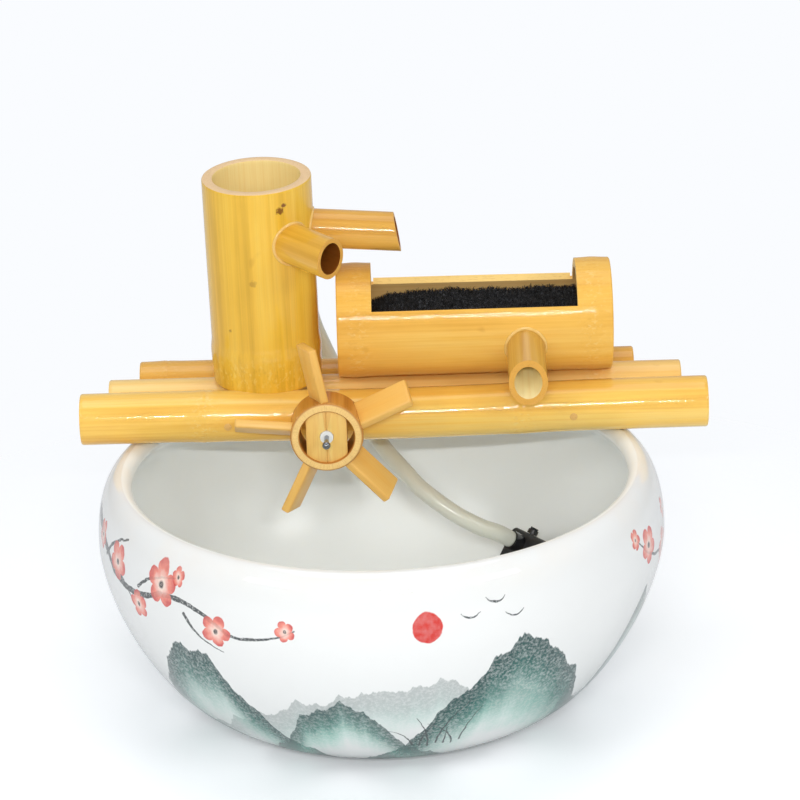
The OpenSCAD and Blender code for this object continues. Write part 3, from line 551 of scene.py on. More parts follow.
# The glaze is cooler inside, breaks warm over the lip, and stops at the bare foot
outer = stored(tree, "outside")
porcelain = blend(outer, tone(248, 253, 253), picture)
lip_glow = ease(parts["Z"], bowl_h - 22 * mm, bowl_h - 2 * mm) * ease(cloud, 0.3, 0.7)
porcelain = blend(lip_glow * 0.25, porcelain, tone(244, 234, 220))
bare = 1.0 - ease(parts["Z"], 0.9 * mm, 1.5 * mm)
dress(shader, {"Base Color": blend(bare, porcelain, tone(214, 204, 188)),
               "Roughness": (1.0 - outer) * 0.16 + bare * 0.6 + 0.06, "IOR": 1.5,
               "Coat Weight": outer * 0.5, "Coat Roughness": 0.03})
ripple = relief(shader, noise_of(space, 14.0, 2.0), 0.25 * mm)
relief(shader, noise_of(space, 90.0, 2.0), 0.012 * mm, ripple)
finish(bowl, glaze, "basin", "white_glaze", "bowl")


# Poles: three lengths of culm under clear lacquer, laid side by side over the bowl. Each
# has its rings, a little sweep, and a hollow end where the saw went through.
def remember(mesh, name, kind, domain, values):
    made = mesh.attributes.new(name, kind, domain)
    made.data.foreach_set("vector" if kind == "FLOAT_VECTOR" else "value", values)


def lay_grain(piece, place, bands=(), band_w=7 * mm):
    """Stores where each point was in its culm, its cut and inner faces, and the rings' bands."""
    mesh = piece.data
    inverse = place.inverted()
    turn_back = inverse.to_3x3()
    local = [inverse @ v.co for v in mesh.vertices]
    remember(mesh, "grain", "FLOAT_VECTOR", "POINT", [c for p in local for c in p])
    remember(mesh, "band", "FLOAT", "POINT",
             [sum(math.exp(-((p.z - b) / band_w) ** 2) for b in bands) for p in local])
    cut_faces, inner_faces = [], []
    for face in mesh.polygons:
        normal = (turn_back @ face.normal).normalized()
        centre = inverse @ face.center
        flat = Vector((centre.x, centre.y, 0))
        outward = normal.dot(flat.normalized()) if flat.length > 0 else 1
        cut_faces.append(1.0 if abs(normal.z) > 0.75 or face.material_index == 1 else 0.0)
        inner_faces.append(1.0 if outward < -0.3 else 0.0)
    remember(mesh, "cut", "FLOAT", "FACE", cut_faces)
    remember(mesh, "inner", "FLOAT", "FACE", inner_faces)
    mesh.polygons.foreach_set("material_index", [0] * len(mesh.polygons))


def shaded(colour, *shares):
    return tone(*(c * share for c, share in zip(colour, shares)))


def own_grain(tree, apart):
    """Where a point was in its culm, moved for each slat so that no two look alike."""
    piece = stored(tree, "piece")
    return vector_calc("MULTIPLY_ADD", combine(tree, X=piece, Y=piece, Z=piece), apart,
                       stored(tree, "grain", "Vector"))


def bamboo(name, dark, base, light, inside, end_grain, gloss=0.10, streaks=0.5, mottle=0.5, scars=(),
           coat=0.85):
    """Lacquered bamboo: broad streaks and fine fibres along the culm, mottled near its rings."""
    made, tree, shader, space = new_material(name)
    grain = own_grain(tree, (0.31, 0.17, 0.7))

    def fibres(along, scale, detail=3.0, roughness=0.5):
        stretched = put(tree, "ShaderNodeMapping", {"Vector": grain, "Scale": (1, 1, along)})
        return noise_of(stretched, scale, detail, roughness)

    fine = fibres(0.012, 900.0, 4.0, 0.65)
    strips = (ease(fibres(0.06, 55.0), 0.3, 0.7) + ease(fibres(0.02, 190.0, 3.0, 0.6), 0.3, 0.7)) * 0.5
    share = strips * streaks + fibres(0.5, 30.0, 3.0, 0.55) * (1 - streaks)
    skin = ramp(tree, (0.12, dark), (0.5, base), (0.9, light))
    feed(skin.node.inputs["Fac"], share)
    near_ring = calc("MINIMUM", stored(tree, "band"), 1.0)
    flecks = ease(fibres(0.6, 480.0, 3.0, 0.6), 0.52, 0.66) * near_ring
    specks = ease(fibres(0.45, 620.0, 3.0, 0.6), 0.53, 0.64) * near_ring
    rare = ease(fibres(0.6, 75.0, 2.0), 0.70, 0.80)
    layers = [(ease(fine, 0.35, 0.8) * 0.32, tone(*dark)), (near_ring * (0.3 * mottle), tone(*base)),
              (flecks * mottle, tone(light[0], light[1] + 12, light[2] + 30)),
              (specks * (0.4 * mottle), shaded(dark, 0.86, 0.74, 0.6)),
              (rare * 0.22, shaded(dark, 0.8, 0.66, 0.55))]
    for where, size, deep in scars:
        edge = (vector_calc("DISTANCE", space, where)["Value"]
                + (noise_of(space, 700.0, 2.0) - 0.5) * (size * 1.2))
        layers.append(((1.0 - ease(edge, size * 0.5, size)) * deep, tone(118, 66, 22)))
    cut, inner = stored(tree, "cut"), stored(tree, "inner")
    layers.append((inner, blend(ease(fine, 0.3, 0.75), tone(*inside), shaded(inside, 0.98, 0.95, 0.9))))
    vessels = ease(fibres(0.15, 1500.0, 2.0, 0.6), 0.56, 0.66)
    layers.append((cut, blend(vessels * 0.22, tone(*end_grain), shaded(end_grain, 0.72, 0.56, 0.42))))
    for amount, colour in layers:
        skin = blend(amount, skin, colour)
    dull = calc("MAXIMUM", cut, inner * 0.6)
    dress(shader, {"Base Color": skin, "Roughness": dull * 0.2 + 0.45, "IOR": 1.48,
                   "Specular IOR Level": 0.12, "Coat Weight": (1.0 - dull * 0.7) * coat,
                   "Coat Roughness": gloss, "Coat IOR": 1.45})
    sags = relief(shader, fibres(0.5, 130.0, 2.0), 0.08 * mm, relief(shader, fine, 0.05 * mm))
    feed(shader.inputs["Coat Normal"], relief(shader, fibres(0.7, 520.0, 2.0), 0.03 * mm, sags))
    return made


saw_edge = 0.8 * mm
ring_stand = 0.6 * mm


def bump(distance, height, width):
    """A smooth swelling that dies out within about twice its width."""
    return height * math.exp(-(distance / width) ** 2)


def ring_bulge(distance):
    """How far the skin stands out, at a distance along the culm from a ring."""
    return (bump(distance, 0.35 * mm, 8 * mm) + bump(distance + 1.4 * mm, 0.1 * mm, 1.2 * mm)
            - bump(distance - 0.9 * mm, 0.16 * mm, 0.8 * mm))


def culm_outline(length, radius, wall, rings, septum=3 * mm):
    """Half outline of a hollow length of culm from -length / 2, open at both ends."""
    half = length / 2
    steps = [-half + saw_edge + (length - 2 * saw_edge) * i / 220 for i in range(221)]
    for ring in rings:
        steps += [ring + d * mm for d in (-2.4, -1.8, -1.2, -0.6, 0, 0.4, 0.9, 1.4, 2.0)]
    skin = [(radius - 0.25 * mm + sum(ring_bulge(x - ring) for ring in rings), x) for x in sorted(steps)]
    bore = radius - wall
    start, stop = rings[0] - septum / 2, rings[-1] + septum / 2
    outer = [(bore + 0.4 * mm, -half), (radius - saw_edge, -half)] + skin
    outer += [(radius - saw_edge, half), (bore + 0.4 * mm, half)]
    right = [(bore, half - 0.4 * mm), (bore - 0.2 * mm, half - 12 * mm), (bore, stop + 3 * mm),
             (bore - 3 * mm, stop)]
    left = [(bore - 3 * mm, start), (bore, start - 3 * mm), (bore - 0.2 * mm, -half + 12 * mm),
            (bore, -half + 0.4 * mm)]
    return [(0, start)] + left + outer + right + [(0, stop)]


def crooked(amount, seed, sweep=0.0, length=0.34):
    """Out-of-round and a slight sweep between its ends, as no culm is a true cylinder."""
    def moved(point):
        flat = Vector((point.x, point.y, 0))
        if flat.length < 1e-6:
            return point
        push = amount * noise.noise(Vector((point.x * 34 + seed, point.y * 34, point.z * 9 + seed)))
        bend = sweep * math.cos(math.pi * max(-0.5, min(0.5, point.z / length))) ** 2
        return point + flat.normalized() * push + Vector((bend, 0, 0))
    return moved


def swelling(radius, half, left, right):
    """How much further up a pole's skin stands towards either end, as culms are never even."""
    def moved(point):
        rise = left if point.z < 0 else right
        along = max(0, min(1, (abs(point.z) - 0.3 * half) / (0.4 * half)))
        return Vector((-rise * along * along * (3 - 2 * along) * (1 - point.x / radius) / 2, 0, 0))
    return moved


cream = (246, 214, 150)
pole_wall = 4.6 * mm
poles = [  # node, slot, rings along the pole, sweep, growth at the ends, dark, base and light tones
    ("pole_front", "front_bamboo", (-0.1195, 0.0797), 2 * mm, (0, 0),
     (234, 172, 68), (254, 207, 98), (255, 222, 132)),
    ("pole_middle", "middle_bamboo", (-0.096, 0.132), 0.2 * mm, (0, 2.8 * mm),
     (236, 186, 96), (250, 210, 128), (254, 224, 152)),
    ("pole_rear", "rear_bamboo", (-0.143, 0.058), 0.2 * mm, (1.6 * mm, 2.4 * mm),
     (214, 156, 60), (234, 180, 82), (244, 198, 106))]
for seed, (node, slot, rings, sweep, growth, dark, base, light) in enumerate(poles):
    low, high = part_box(node)
    radius = (high.z - low.z) / 2 - ring_stand
    length = high.x - low.x
    place = Matrix.Translation((low + high) / 2) @ Matrix.Rotation(math.radians(90), 4, "Y")
    uneven = crooked(0.22 * mm, 7.3 * seed, sweep)
    grows = swelling(radius, length / 2, *growth)
    pole = turned(node + "_culm", culm_outline(length, radius, pole_wall, rings), 96, place,
                  lambda point: uneven(point) + grows(point))
    smooth_faces(pole)
    lay_grain(pole, place, rings, 9 * mm)
    wood = bamboo(slot, dark, base, light, cream, (228, 190, 138), 0.035, 0.65, 0.3)
    finish(pole, wood, "fountain_head", slot, node)

# Dowels: two bamboo pins driven right through the poles. Their planed ends show as round
# plugs in the front pole and the rear one.
plug_wood = bamboo("dowel ends", (206, 158, 92), (226, 180, 108), (238, 198, 128), cream, (232, 184, 108),
                   0.14, 0.4, 0.2)
dome = 0.55 * mm
for node in ("dowel_left", "dowel_right"):
    low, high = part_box(node)
    radius = (high.x - low.x) / 2
    half = (high.y - low.y) / 2
    bends = [math.radians(12 * i) for i in range(1, 7)]
    cap = [(0, half + dome)] + [(radius * math.sin(a), half + dome * math.cos(a)) for a in bends]
    cap += [(radius, half - 0.4 * mm)]
    place = Matrix.Translation((low + high) / 2) @ Matrix.Rotation(math.radians(-90), 4, "X")
    dowel = turned(node + "_plug", [(r, -z) for r, z in cap] + cap[::-1], 40, place)
    smooth_faces(dowel)
    lay_grain(dowel, place)
    finish(dowel, plug_wood, "fountain_head", "dowel_wood", node)


# Cup: an upright length of thick culm whose own node closes it below. It leans a little,
# its rim is sawn flat, and three holes take the spouts and the hose.
def carve(piece, cutters):
    """Cuts the cutters' shapes out of a piece. Faces they leave are marked as sawn."""
    for cutter in cutters + [piece]:
        cutter.data.materials.clear()
        cutter.data.materials.append(None)
        cutter.data.materials.append(None)
    for cutter in cutters:
        cutter.data.polygons.foreach_set("material_index", [1] * len(cutter.data.polygons))
        modifier = piece.modifiers.new("carve", "BOOLEAN")
        modifier.operation = "DIFFERENCE"
        modifier.solver = "EXACT"
        modifier.material_mode = "INDEX"
        modifier.object = cutter
    settle(piece)
    for cutter in cutters:
        bpy.data.objects.remove(cutter)


def rod(radius, start, end, place=None):
    """A plain bar that is only used to cut with."""
    return turned("cutter", [(0, start), (radius, start), (radius, end), (0, end)], 64, place)


def block(low, high, place=None):
    """A plain box that is only used to cut with."""
    corners = [(x, y, z) for x in (low[0], high[0]) for y in (low[1], high[1]) for z in (low[2], high[2])]
    faces = [(0, 1, 3, 2), (4, 6, 7, 5), (0, 4, 5, 1), (2, 3, 7, 6), (0, 2, 6, 4), (1, 5, 7, 3)]
    return solid("cutter", corners, faces, place)


def soften(piece, width, segments=2):
    """Rubs down a piece's sharp edges."""
    modifier = piece.modifiers.new("worn edge", "BEVEL")
    modifier.width = width
    modifier.segments = segments
    modifier.limit_method = "ANGLE"
    modifier.angle_limit = math.radians(40)
    settle(piece)


cup_x = -80 * mm
cup_r = 34.5 * mm
cup_wall = 6.8 * mm
cup_h = 135 * mm
cup_floor = 15 * mm
cup_round = 2.6 * mm
cup_lean = math.radians(0.8)
middle_low, middle_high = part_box("pole_middle")
raft_y = (middle_low.y + middle_high.y) / 2
seat_z = middle_high.z - ring_stand
node_h = 22 * mm
rim_slant = 1.8 * mm
cup_place = Matrix.Translation((cup_x, raft_y, seat_z)) @ Matrix.Rotation(-cup_lean, 4, "Y")


def cup_skin(height):
    """Radius of the cup's outside: it swells to its node, falls off above and tapers on."""
    rise = min(height / node_h, 1) if height < node_h else max(0, 1 - (height - node_h) / (9 * mm))
    return cup_r + 0.8 * mm * (1 - math.cos(math.pi * rise)) / 2 - 0.1 * mm * height / cup_h


def cup_hand(point):
    """The culm's unevenness, and the saw cut of its rim, which is a little lower in front."""
    near_rim = max(0, point.z - cup_h + 20 * mm) / (20 * mm)
    return crooked(0.3 * mm, 3.1)(point) + Vector((0, 0, rim_slant * near_rim * point.y / cup_r))


bore_r = cup_r - cup_wall
side_rows = [cup_round + (cup_h - 1 * mm - cup_round) * i / 110 for i in range(1, 111)]
inside_rows = [cup_h - 1 * mm - (cup_h - cup_floor - 4 * mm) * i / 60 for i in range(61)]
cup_outline = [(0, 0)] + arc(cup_r - cup_round, cup_round, cup_round, -90, 0, 15)
cup_outline += [(cup_skin(h), h) for h in side_rows]
cup_outline += [(cup_skin(cup_h) - 0.3 * mm, cup_h - 0.3 * mm), (cup_skin(cup_h) - 1 * mm, cup_h),
                (bore_r + 0.8 * mm, cup_h), (bore_r + 0.2 * mm, cup_h - 0.3 * mm)]
cup_outline += [(bore_r, h) for h in inside_rows]
cup_outline += [(bore_r - 1 * mm, cup_floor + 1 * mm), (bore_r - 4 * mm, cup_floor), (0, cup_floor)]
cup = turned("bamboo_cup", cup_outline, 128, cup_place, cup_hand)


def out_of_cup(height, turn, lean=0.0, shift=0.0):
    """The place of a hole through the cup's wall, with Z outwards along it."""
    return (Matrix.Translation((cup_x - shift, raft_y, seat_z + height))
            @ Matrix.Rotation(math.radians(turn), 4, "Z")
            @ Matrix.Rotation(math.radians(90 + lean), 4, "Y"))


feed_place = out_of_cup(101.9 * mm, 0, 4.5)
splash_place = out_of_cup(98.2 * mm, -52.5)
hose_hole = out_of_cup(75 * mm, 75, 0, 75 * mm * math.tan(cup_lean))
feed_r = 12.4 * mm
splash_r = 12.8 * mm
glue_gap = 0.05 * mm
carve(cup, [rod(r, 10 * mm, 60 * mm, place) for r, place in (
    (feed_r + glue_gap, feed_place), (splash_r + glue_gap, splash_place), (hose_d / 2, hose_hole))])
smooth_faces(cup)
lay_grain(cup, cup_place, (node_h - 9 * mm,), 11 * mm)
cup_scars = [((-0.0668, 0.0475, 0.3030), 3.0 * mm, 0.9), ((-0.0640, 0.0487, 0.3065), 2.2 * mm, 0.9),
             ((-0.0855, 0.0444, 0.2570), 3.0 * mm, 0.35), ((-0.1010, 0.0515, 0.2240), 1.4 * mm, 0.5)]
# The cup's inside tone, a pale yellow near white, is painted light: it is lighter than the culm's own to make
# up for the dim light down inside the cup.
cup_wood = bamboo("golden cup culm", (206, 158, 40), (242, 192, 62), (250, 210, 88), (255, 232, 162),
                  (238, 204, 158), 0.06, 0.6, 0.45, cup_scars)
finish(cup, cup_wood, "fountain_head", "cup_bamboo", "cup")

# Spouts: thin branches of culm, drilled and glued into the cup's wall and the trough's.
# Each is sawn at a slant, and a bead of glue shines round its root.
spout_wall = 3 * mm
spout_root = 26.3 * mm
# The feed and splash spouts' bores are painted dark brown: painted shade for the shadow down inside a narrow
# bore.
painted_shade_bore = (150, 86, 26)


def make_spout(name, node, slot, place, start, reach, radius, wall, slant, turn, tones, bore_tone):
    length = reach + radius * 2 - start
    rows = 40
    skin = [(radius - 0.1 * mm, start + 0.3 * mm + length * i / rows) for i in range(rows + 1)]
    bore = [(radius - wall, start + length - length * i / rows) for i in range(rows + 1)]
    outline = [(radius - wall + 0.2 * mm, start), (radius - 0.4 * mm, start)] + skin + bore
    spout = turned(name, outline, 72, place, crooked(0.25 * mm, reach * 90), on_axis=False)
    cutting = (place @ Matrix.Translation((0, 0, reach)) @ Matrix.Rotation(math.radians(turn), 4, "Z")
               @ Matrix.Rotation(math.radians(slant), 4, "X"))
    carve(spout, [block((-0.06, -0.06, 0), (0.06, 0.06, 0.12), cutting)])
    soften(spout, 0.5 * mm, 3)
    smooth_faces(spout)
    lay_grain(spout, place)
    wood = bamboo(slot + " spout", *tones, bore_tone, (228, 170, 78), 0.035, 0.6, 0.3)
    finish(spout, wood, "fountain_head", slot, node)


make_spout("feed_spout", "spout_to_trough", "feed_bamboo", feed_place, spout_root, 85.6 * mm, feed_r,
           spout_wall, 14.5, -90, ((196, 138, 46), (228, 172, 74), (240, 192, 98)), painted_shade_bore)
make_spout("splash_spout", "spout_to_wheel", "splash_bamboo", splash_place, spout_root, 72.2 * mm, splash_r,
           spout_wall, 17, 180, ((206, 148, 40), (234, 178, 62), (244, 196, 86)), painted_shade_bore)

# Trough: a thick culm laid on the middle pole, closed by its own nodes at both ends and
# sawn open on top. The saw ran on a little at the back corners of the window.
trough_x = -34.4 * mm
trough_l = 173.6 * mm
trough_r1, trough_r2 = 36.8 * mm, 36 * mm
trough_wall = 6.2 * mm
trough_recess = 9 * mm
trough_septum = 5 * mm
window_end = 22.1 * mm
window_h = 17 * mm
trough_z = seat_z + glue_gap + trough_r1
trough_place = Matrix.Translation((trough_x, raft_y, trough_z)) @ Matrix.Rotation(math.radians(90), 4, "Y")
hollow_start = trough_recess + trough_septum
hollow_stop = trough_l - hollow_start


def trough_taper(along):
    return trough_r1 + (trough_r2 - trough_r1) * along / trough_l


def trough_skin(along):
    """Radius of the trough's outside, a little fuller where its two nodes are."""
    nodes = (trough_recess + trough_septum / 2, trough_l - trough_recess - trough_septum / 2)
    return trough_taper(along) - 0.45 * mm + sum(bump(along - n, 0.45 * mm, 6 * mm) for n in nodes)


edge = 0.7 * mm
left_r, right_r = trough_taper(0) - trough_wall, trough_taper(trough_l) - trough_wall
left_in, right_in = (trough_taper(x) - trough_wall for x in (hollow_start, hollow_stop))
skin_rows = [edge + (trough_l - 2 * edge) * i / 160 for i in range(161)]
trough_outline = [(0, trough_recess), (left_r - 3 * mm, trough_recess), (left_r, trough_recess - 2 * mm),
                  (left_r, 0.4 * mm), (left_r + 0.4 * mm, 0), (trough_skin(0) - edge, 0)]
trough_outline += [(trough_skin(x), x) for x in skin_rows]
trough_outline += [(trough_skin(trough_l) - edge, trough_l), (right_r + 0.4 * mm, trough_l),
                   (right_r, trough_l - 0.4 * mm), (right_r, trough_l - trough_recess + 2 * mm),
                   (right_r - 3 * mm, trough_l - trough_recess), (0, trough_l - trough_recess)]
trough = turned("bamboo_trough", trough_outline, 128, trough_place, crooked(0.3 * mm, 11.7, 0, trough_l))
hollow = [(0, hollow_start), (left_in - 3 * mm, hollow_start), (left_in, hollow_start + 3 * mm),
          (right_in, hollow_stop - 3 * mm), (right_in - 3 * mm, hollow_stop), (0, hollow_stop)]
carve(trough, [turned("cutter", hollow, 128, trough_place)])
trough.data.polygons.foreach_set("material_index", [0] * len(trough.data.polygons))
# The strip was split out along the wall, so its long edges point to the culm's axis
edge_angle = math.asin(window_h / trough_r1)
corner_x, corner_y = 0.06 * math.sin(edge_angle), 0.06 * math.cos(edge_angle)
strip = [(0, 0), (-corner_x, corner_y), (-0.06, corner_y), (-0.06, -corner_y), (-corner_x, -corner_y)]
saw = solid("cutter", [(x, y, z) for z in (window_end, trough_l - window_end) for x, y in strip],
            [(4, 3, 2, 1, 0), (5, 6, 7, 8, 9)] + [(i, (i + 1) % 5, 5 + (i + 1) % 5, 5 + i) for i in range(5)],
            trough_place)
kerf = 1.3 * mm
kerf_depth = 3.2 * mm
window_low = trough_x + window_end + 0.01 * mm
window_high = trough_x + trough_l - window_end - 0.01 * mm
window_z = trough_z + window_h
kerfs = [block((x, raft_y, window_z - kerf_depth), (x + kerf, raft_y + 0.05, window_z + 1 * mm))
         for x in (window_low, window_high - kerf)]
drain_x = 83.9 * mm
drain_r = 12.3 * mm
drain_fall = math.radians(22)
drain_reach = 64.6 * mm
drain_place = (Matrix.Translation((drain_x, raft_y - drain_reach, seat_z + 15.4 * mm))
               @ Matrix.Rotation(math.radians(90) + drain_fall, 4, "X"))
carve(trough, [saw, *kerfs, rod(drain_r + glue_gap, -drain_reach, 0, drain_place)])
soften(trough, 0.45 * mm)
smooth_faces(trough)
lay_grain(trough, trough_place, (13 * mm, trough_l - 13 * mm), 7 * mm)
trough_wood = bamboo("warm trough culm", (224, 160, 58), (246, 192, 88), (252, 208, 112), (230, 190, 124),
                     (252, 214, 132), 0.05, 0.5, 0.35, coat=0.4)
finish(trough, trough_wood, "fountain_head", "trough_bamboo", "trough")
drain_length = (drain_reach - trough_r1 + trough_wall + 4 * mm) / math.cos(drain_fall)
drain_root = drain_place @ Matrix.Translation((0, 0, -drain_length))
# The drain's bore tone, a pale cream near white, is painted light: it is lighter than the culm's own so that
# the bore, shaded inside the spout, shows bright.
make_spout("drain_spout", "spout_outlet", "drain_bamboo", drain_root, 0, drain_length, drain_r, 3.6 * mm,
           -32, 0, ((184, 130, 44), (212, 162, 70), (228, 184, 90)), (255, 236, 176))

# Glue beads: clear glue wiped round each spout where it enters its host, following the
# saddle curve where the two round walls meet.
glue, tree, shader, space = new_material("clear glue over bamboo")
dress(shader, {"Base Color": blend(noise_of(space, 200.0), tone(234, 184, 88), tone(246, 206, 120)),
               "Roughness": 0.12, "Coat Weight": 0.8, "Coat Roughness": 0.05})
relief(shader, noise_of(space, 260.0, 2.0), 0.2 * mm)


def saddle(place, spout_r, host_r, host_axis, host_point, nearest, furthest):
    """The closed curve where a spout's skin meets its round host."""
    path = []
    for x, y in arc(0, 0, spout_r, 0, 360, 96):
        low, high = nearest, furthest
        for _ in range(40):
            middle = (low + high) / 2
            gone = place @ Vector((x, y, middle)) - host_point
            off_axis = (gone - host_axis * gone.dot(host_axis)).length
            low, high = (middle, high) if off_axis < host_r else (low, middle)
        path.append(place @ Vector((x, y, (low + high) / 2)))
    return path


bead_r = 1.2 * mm
bead_out = 0.3 * mm
in_cup = (cup_r - bead_out, (cup_place.to_3x3() @ Vector((0, 0, 1))).normalized(), cup_place.to_translation(),
          20 * mm, 60 * mm)
in_trough = (trough_skin(drain_x - trough_x), Vector((1, 0, 0)), Vector((drain_x, raft_y, trough_z)),
             -10 * mm, 40 * mm)
for name, place, radius, host in (("feed_bead", feed_place, feed_r, in_cup),
                                  ("splash_bead", splash_place, splash_r, in_cup),
                                  ("drain_bead", drain_root, drain_r, in_trough)):
    finish(pipe(name, saddle(place, radius + bead_out, *host), bead_r), glue, "fountain_head", "cup_bamboo")

# Filter foam: a mat of coarse black foam pressed into the trough. Its top is a rough pile
# of open fibres, and it slopes down at the left end.
foam_low, foam_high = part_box("filter_foam")
columns, rows = 150, 40
foam_half = 27 * mm
bed_r = 28.6 * mm


def foam_top(x, y):
    """Height of the foam's top: bumpy, and lower at the left end."""
    from_left = (x - foam_low.x) / (foam_high.x - foam_low.x)
    sunk = 6.5 * mm * (1 - min(from_left / 0.2, 1)) ** 1.7
    lumps = noise.noise(Vector((x * 70, y * 70, 4.2))) * 1.5 * mm
    crumbs = noise.noise(Vector((x * 300, y * 300, 9.1))) * 1.2 * mm
    return foam_high.z + 0.3 * mm - sunk + lumps + crumbs


spots = [(foam_low.x + (foam_high.x - foam_low.x) * i / columns, raft_y + foam_half * (2 * j / rows - 1))
         for i in range(columns + 1) for j in range(rows + 1)]
points = [(x, y, foam_top(x, y)) for x, y in spots]
points += [(x, y, trough_z - math.sqrt(bed_r ** 2 - min(abs(y - raft_y), foam_half) ** 2)) for x, y in spots]
step = rows + 1
faces = []
for a in (i * step + j for i in range(columns) for j in range(rows)):
    faces.append((a, a + step, a + step + 1, a + 1))
    faces.append(tuple(len(spots) + v for v in (a, a + 1, a + step + 1, a + step)))
rim_loop = ([i * step for i in range(columns)] + [columns * step + j for j in range(rows)]
            + [i * step + rows for i in range(columns, 0, -1)] + list(range(rows, 0, -1)))
faces += [(a, b, len(spots) + b, len(spots) + a) for a, b in zip(rim_loop, rim_loop[1:] + rim_loop[:1])]
foam = solid("foam_mat", points, faces)
foam.data.shade_smooth()

black_foam, tree, shader, space = new_material("coarse black foam")
speckle = noise_of(space, 620.0, 2.0, 0.6)
# The grey-blue specks in the foam's colour are painted highlights: the glints of light on its fibre tips.
dress(shader, {"Base Color": blend(ease(speckle, 0.6, 0.66), tone(3, 3, 4), tone(96, 100, 108)),
               "Roughness": 0.4})
relief(shader, speckle, 0.8 * mm)

fibre_path = ((0, 0, 0), (0.5, 0, 0.9), (0.2, 0.5, 1.8), (-0.4, 0.3, 2.4))
fibre_r = 0.22 * mm
fibre_points = [Vector(spot) * mm + Vector((x, y, 0)) for i, spot in enumerate(fibre_path)
                for x, y in arc(0, 0, fibre_r * (1 - 0.2 * i), 0, 270, 3)]
fibre = solid("foam_fibre", fibre_points, [(k, k // 4 * 4 + (k + 1) % 4, k // 4 * 4 + (k + 1) % 4 + 4, k + 4)
                                           for k in range(12)] + [(3, 2, 1, 0), (12, 13, 14, 15)])

pile_tree, pile_in, pile_inputs = geometry_tree("open fibres on the foam", {
    "Fibre": "Object", "Per Square Metre": "Float", "Seed": "Int", "Height Over": "Float"})
where = split(put(pile_tree, "GeometryNodeInputPosition"))
above = put(pile_tree, "FunctionNodeCompare", {0: where["Z"], 1: pile_in["Height Over"]},
            data_type="FLOAT", operation="GREATER_THAN")
scatter = put(pile_tree, "GeometryNodeDistributePointsOnFaces", {
    "Mesh": pile_in["Geometry"], "Selection": above, "Density": pile_in["Per Square Metre"],
    "Seed": pile_in["Seed"]})
shape = put(pile_tree, "GeometryNodeObjectInfo", {"Object": pile_in["Fibre"]})["Geometry"]
spin = put(pile_tree, "FunctionNodeRandomValue", {"Min": (-0.9, -0.9, 0.0), "Max": (0.9, 0.9, 6.283)},
           data_type="FLOAT_VECTOR")
size = put(pile_tree, "FunctionNodeRandomValue", {2: 0.6, 3: 1.5}, data_type="FLOAT")[1]
stand = put(pile_tree, "GeometryNodeInstanceOnPoints",
            {"Points": scatter["Points"], "Instance": shape, "Rotation": spin["Value"], "Scale": size})
both = put(pile_tree, "GeometryNodeJoinGeometry")
feed(both.node.inputs[0], put(pile_tree, "GeometryNodeRealizeInstances", {"Geometry": stand}))
feed(both.node.inputs[0], pile_in["Geometry"])
coated = put(pile_tree, "GeometryNodeSetMaterial", {"Geometry": both, "Material": black_foam})
put(pile_tree, "NodeGroupOutput", {"Geometry": coated})
foam_pile = grown("filter_foam_pile", foam, pile_tree, pile_inputs, {
    "Fibre": fibre, "Per Square Metre": 1400000.0, "Seed": 5, "Height Over": foam_high.z - 14 * mm})
bpy.data.objects.remove(fibre)
finish(foam_pile, black_foam, "fountain_head", "black_foam", "filter_foam")

# Wheel hub: a short ring sawn from a culm, left matt, with its edges browned by sanding.
# Five slots in its skin hold the blades.
wheel_low, wheel_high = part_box("wheel_hub")
hub_r = (wheel_high.x - wheel_low.x) / 2
hub_l = wheel_high.y - wheel_low.y
hub_wall = 5.7 * mm
hub_bore = hub_r - hub_wall
bevel = 2 * mm
hub_rows = 24
wheel_place = (Matrix.Translation(((wheel_low.x + wheel_high.x) / 2, wheel_low.y,
                                   (wheel_low.z + wheel_high.z) / 2))
               @ Matrix.Rotation(math.radians(90), 4, "X"))
hub_outline = [(hub_bore + 0.5 * mm, 0), (hub_r - bevel, 0)]
hub_outline += arc(hub_r - bevel, -bevel, bevel, 90, 0, 6)[1:-1]
hub_outline += [(hub_r - 0.1 * mm, -bevel - (hub_l - 2 * bevel) * i / hub_rows) for i in range(hub_rows + 1)]
hub_outline += arc(hub_r - bevel, -hub_l + bevel, bevel, 0, -90, 6)[1:-1]
hub_outline += [(hub_r - bevel, -hub_l), (hub_bore + 0.5 * mm, -hub_l)]
hub_outline += [(hub_bore, -hub_l + 0.5 * mm + (hub_l - 1 * mm) * i / hub_rows) for i in range(hub_rows + 1)]
hub = turned("wheel_hub_ring", hub_outline, 128, wheel_place, crooked(0.3 * mm, 5.9), on_axis=False)

blade_turns = ((101, 24), (25, 24), (-47, 24), (-115.5, 24), (174.5, 31))
blade_w = 20.6 * mm
blade_t = 5.5 * mm
blade_root = hub_r - 4.4 * mm
blade_tip = 57.5 * mm
grow = 0.05 * mm
slot_half = Vector((0, blade_t / 2 + grow, blade_w / 2 + grow))
carve(hub, [block(Vector((-grow, 0, 0)) - slot_half, Vector((0.03, 0, 0)) + slot_half,
                  wheel_place @ Matrix.Rotation(math.radians(turn), 4, "Z")
                  @ Matrix.Translation((blade_root, 0, -hub_l / 2))
                  @ Matrix.Rotation(math.radians(twist), 4, "X"))
            for turn, twist in blade_turns])
smooth_faces(hub)
lay_grain(hub, wheel_place, (0, -hub_l), 3 * mm)
hub_wood = bamboo("sanded hub ring", (158, 92, 26), (204, 138, 54), (232, 174, 88), (196, 128, 52),
                  (254, 214, 138), 0.12, 0.5, 0.5, coat=0.6)
tree, shader = hub_wood.node_tree, hub_wood.node_tree.nodes["Principled BSDF"]
ring_wood = Field(shader.inputs["Base Color"].links[0].from_socket)
where = split(stored(tree, "grain", "Vector"))
from_axis = calc("SQRT", where["X"] * where["X"] + where["Y"] * where["Y"])
spoke = combine(tree, X=calc("ARCTAN2", where["Y"], where["X"]), Y=from_axis * 6.0)
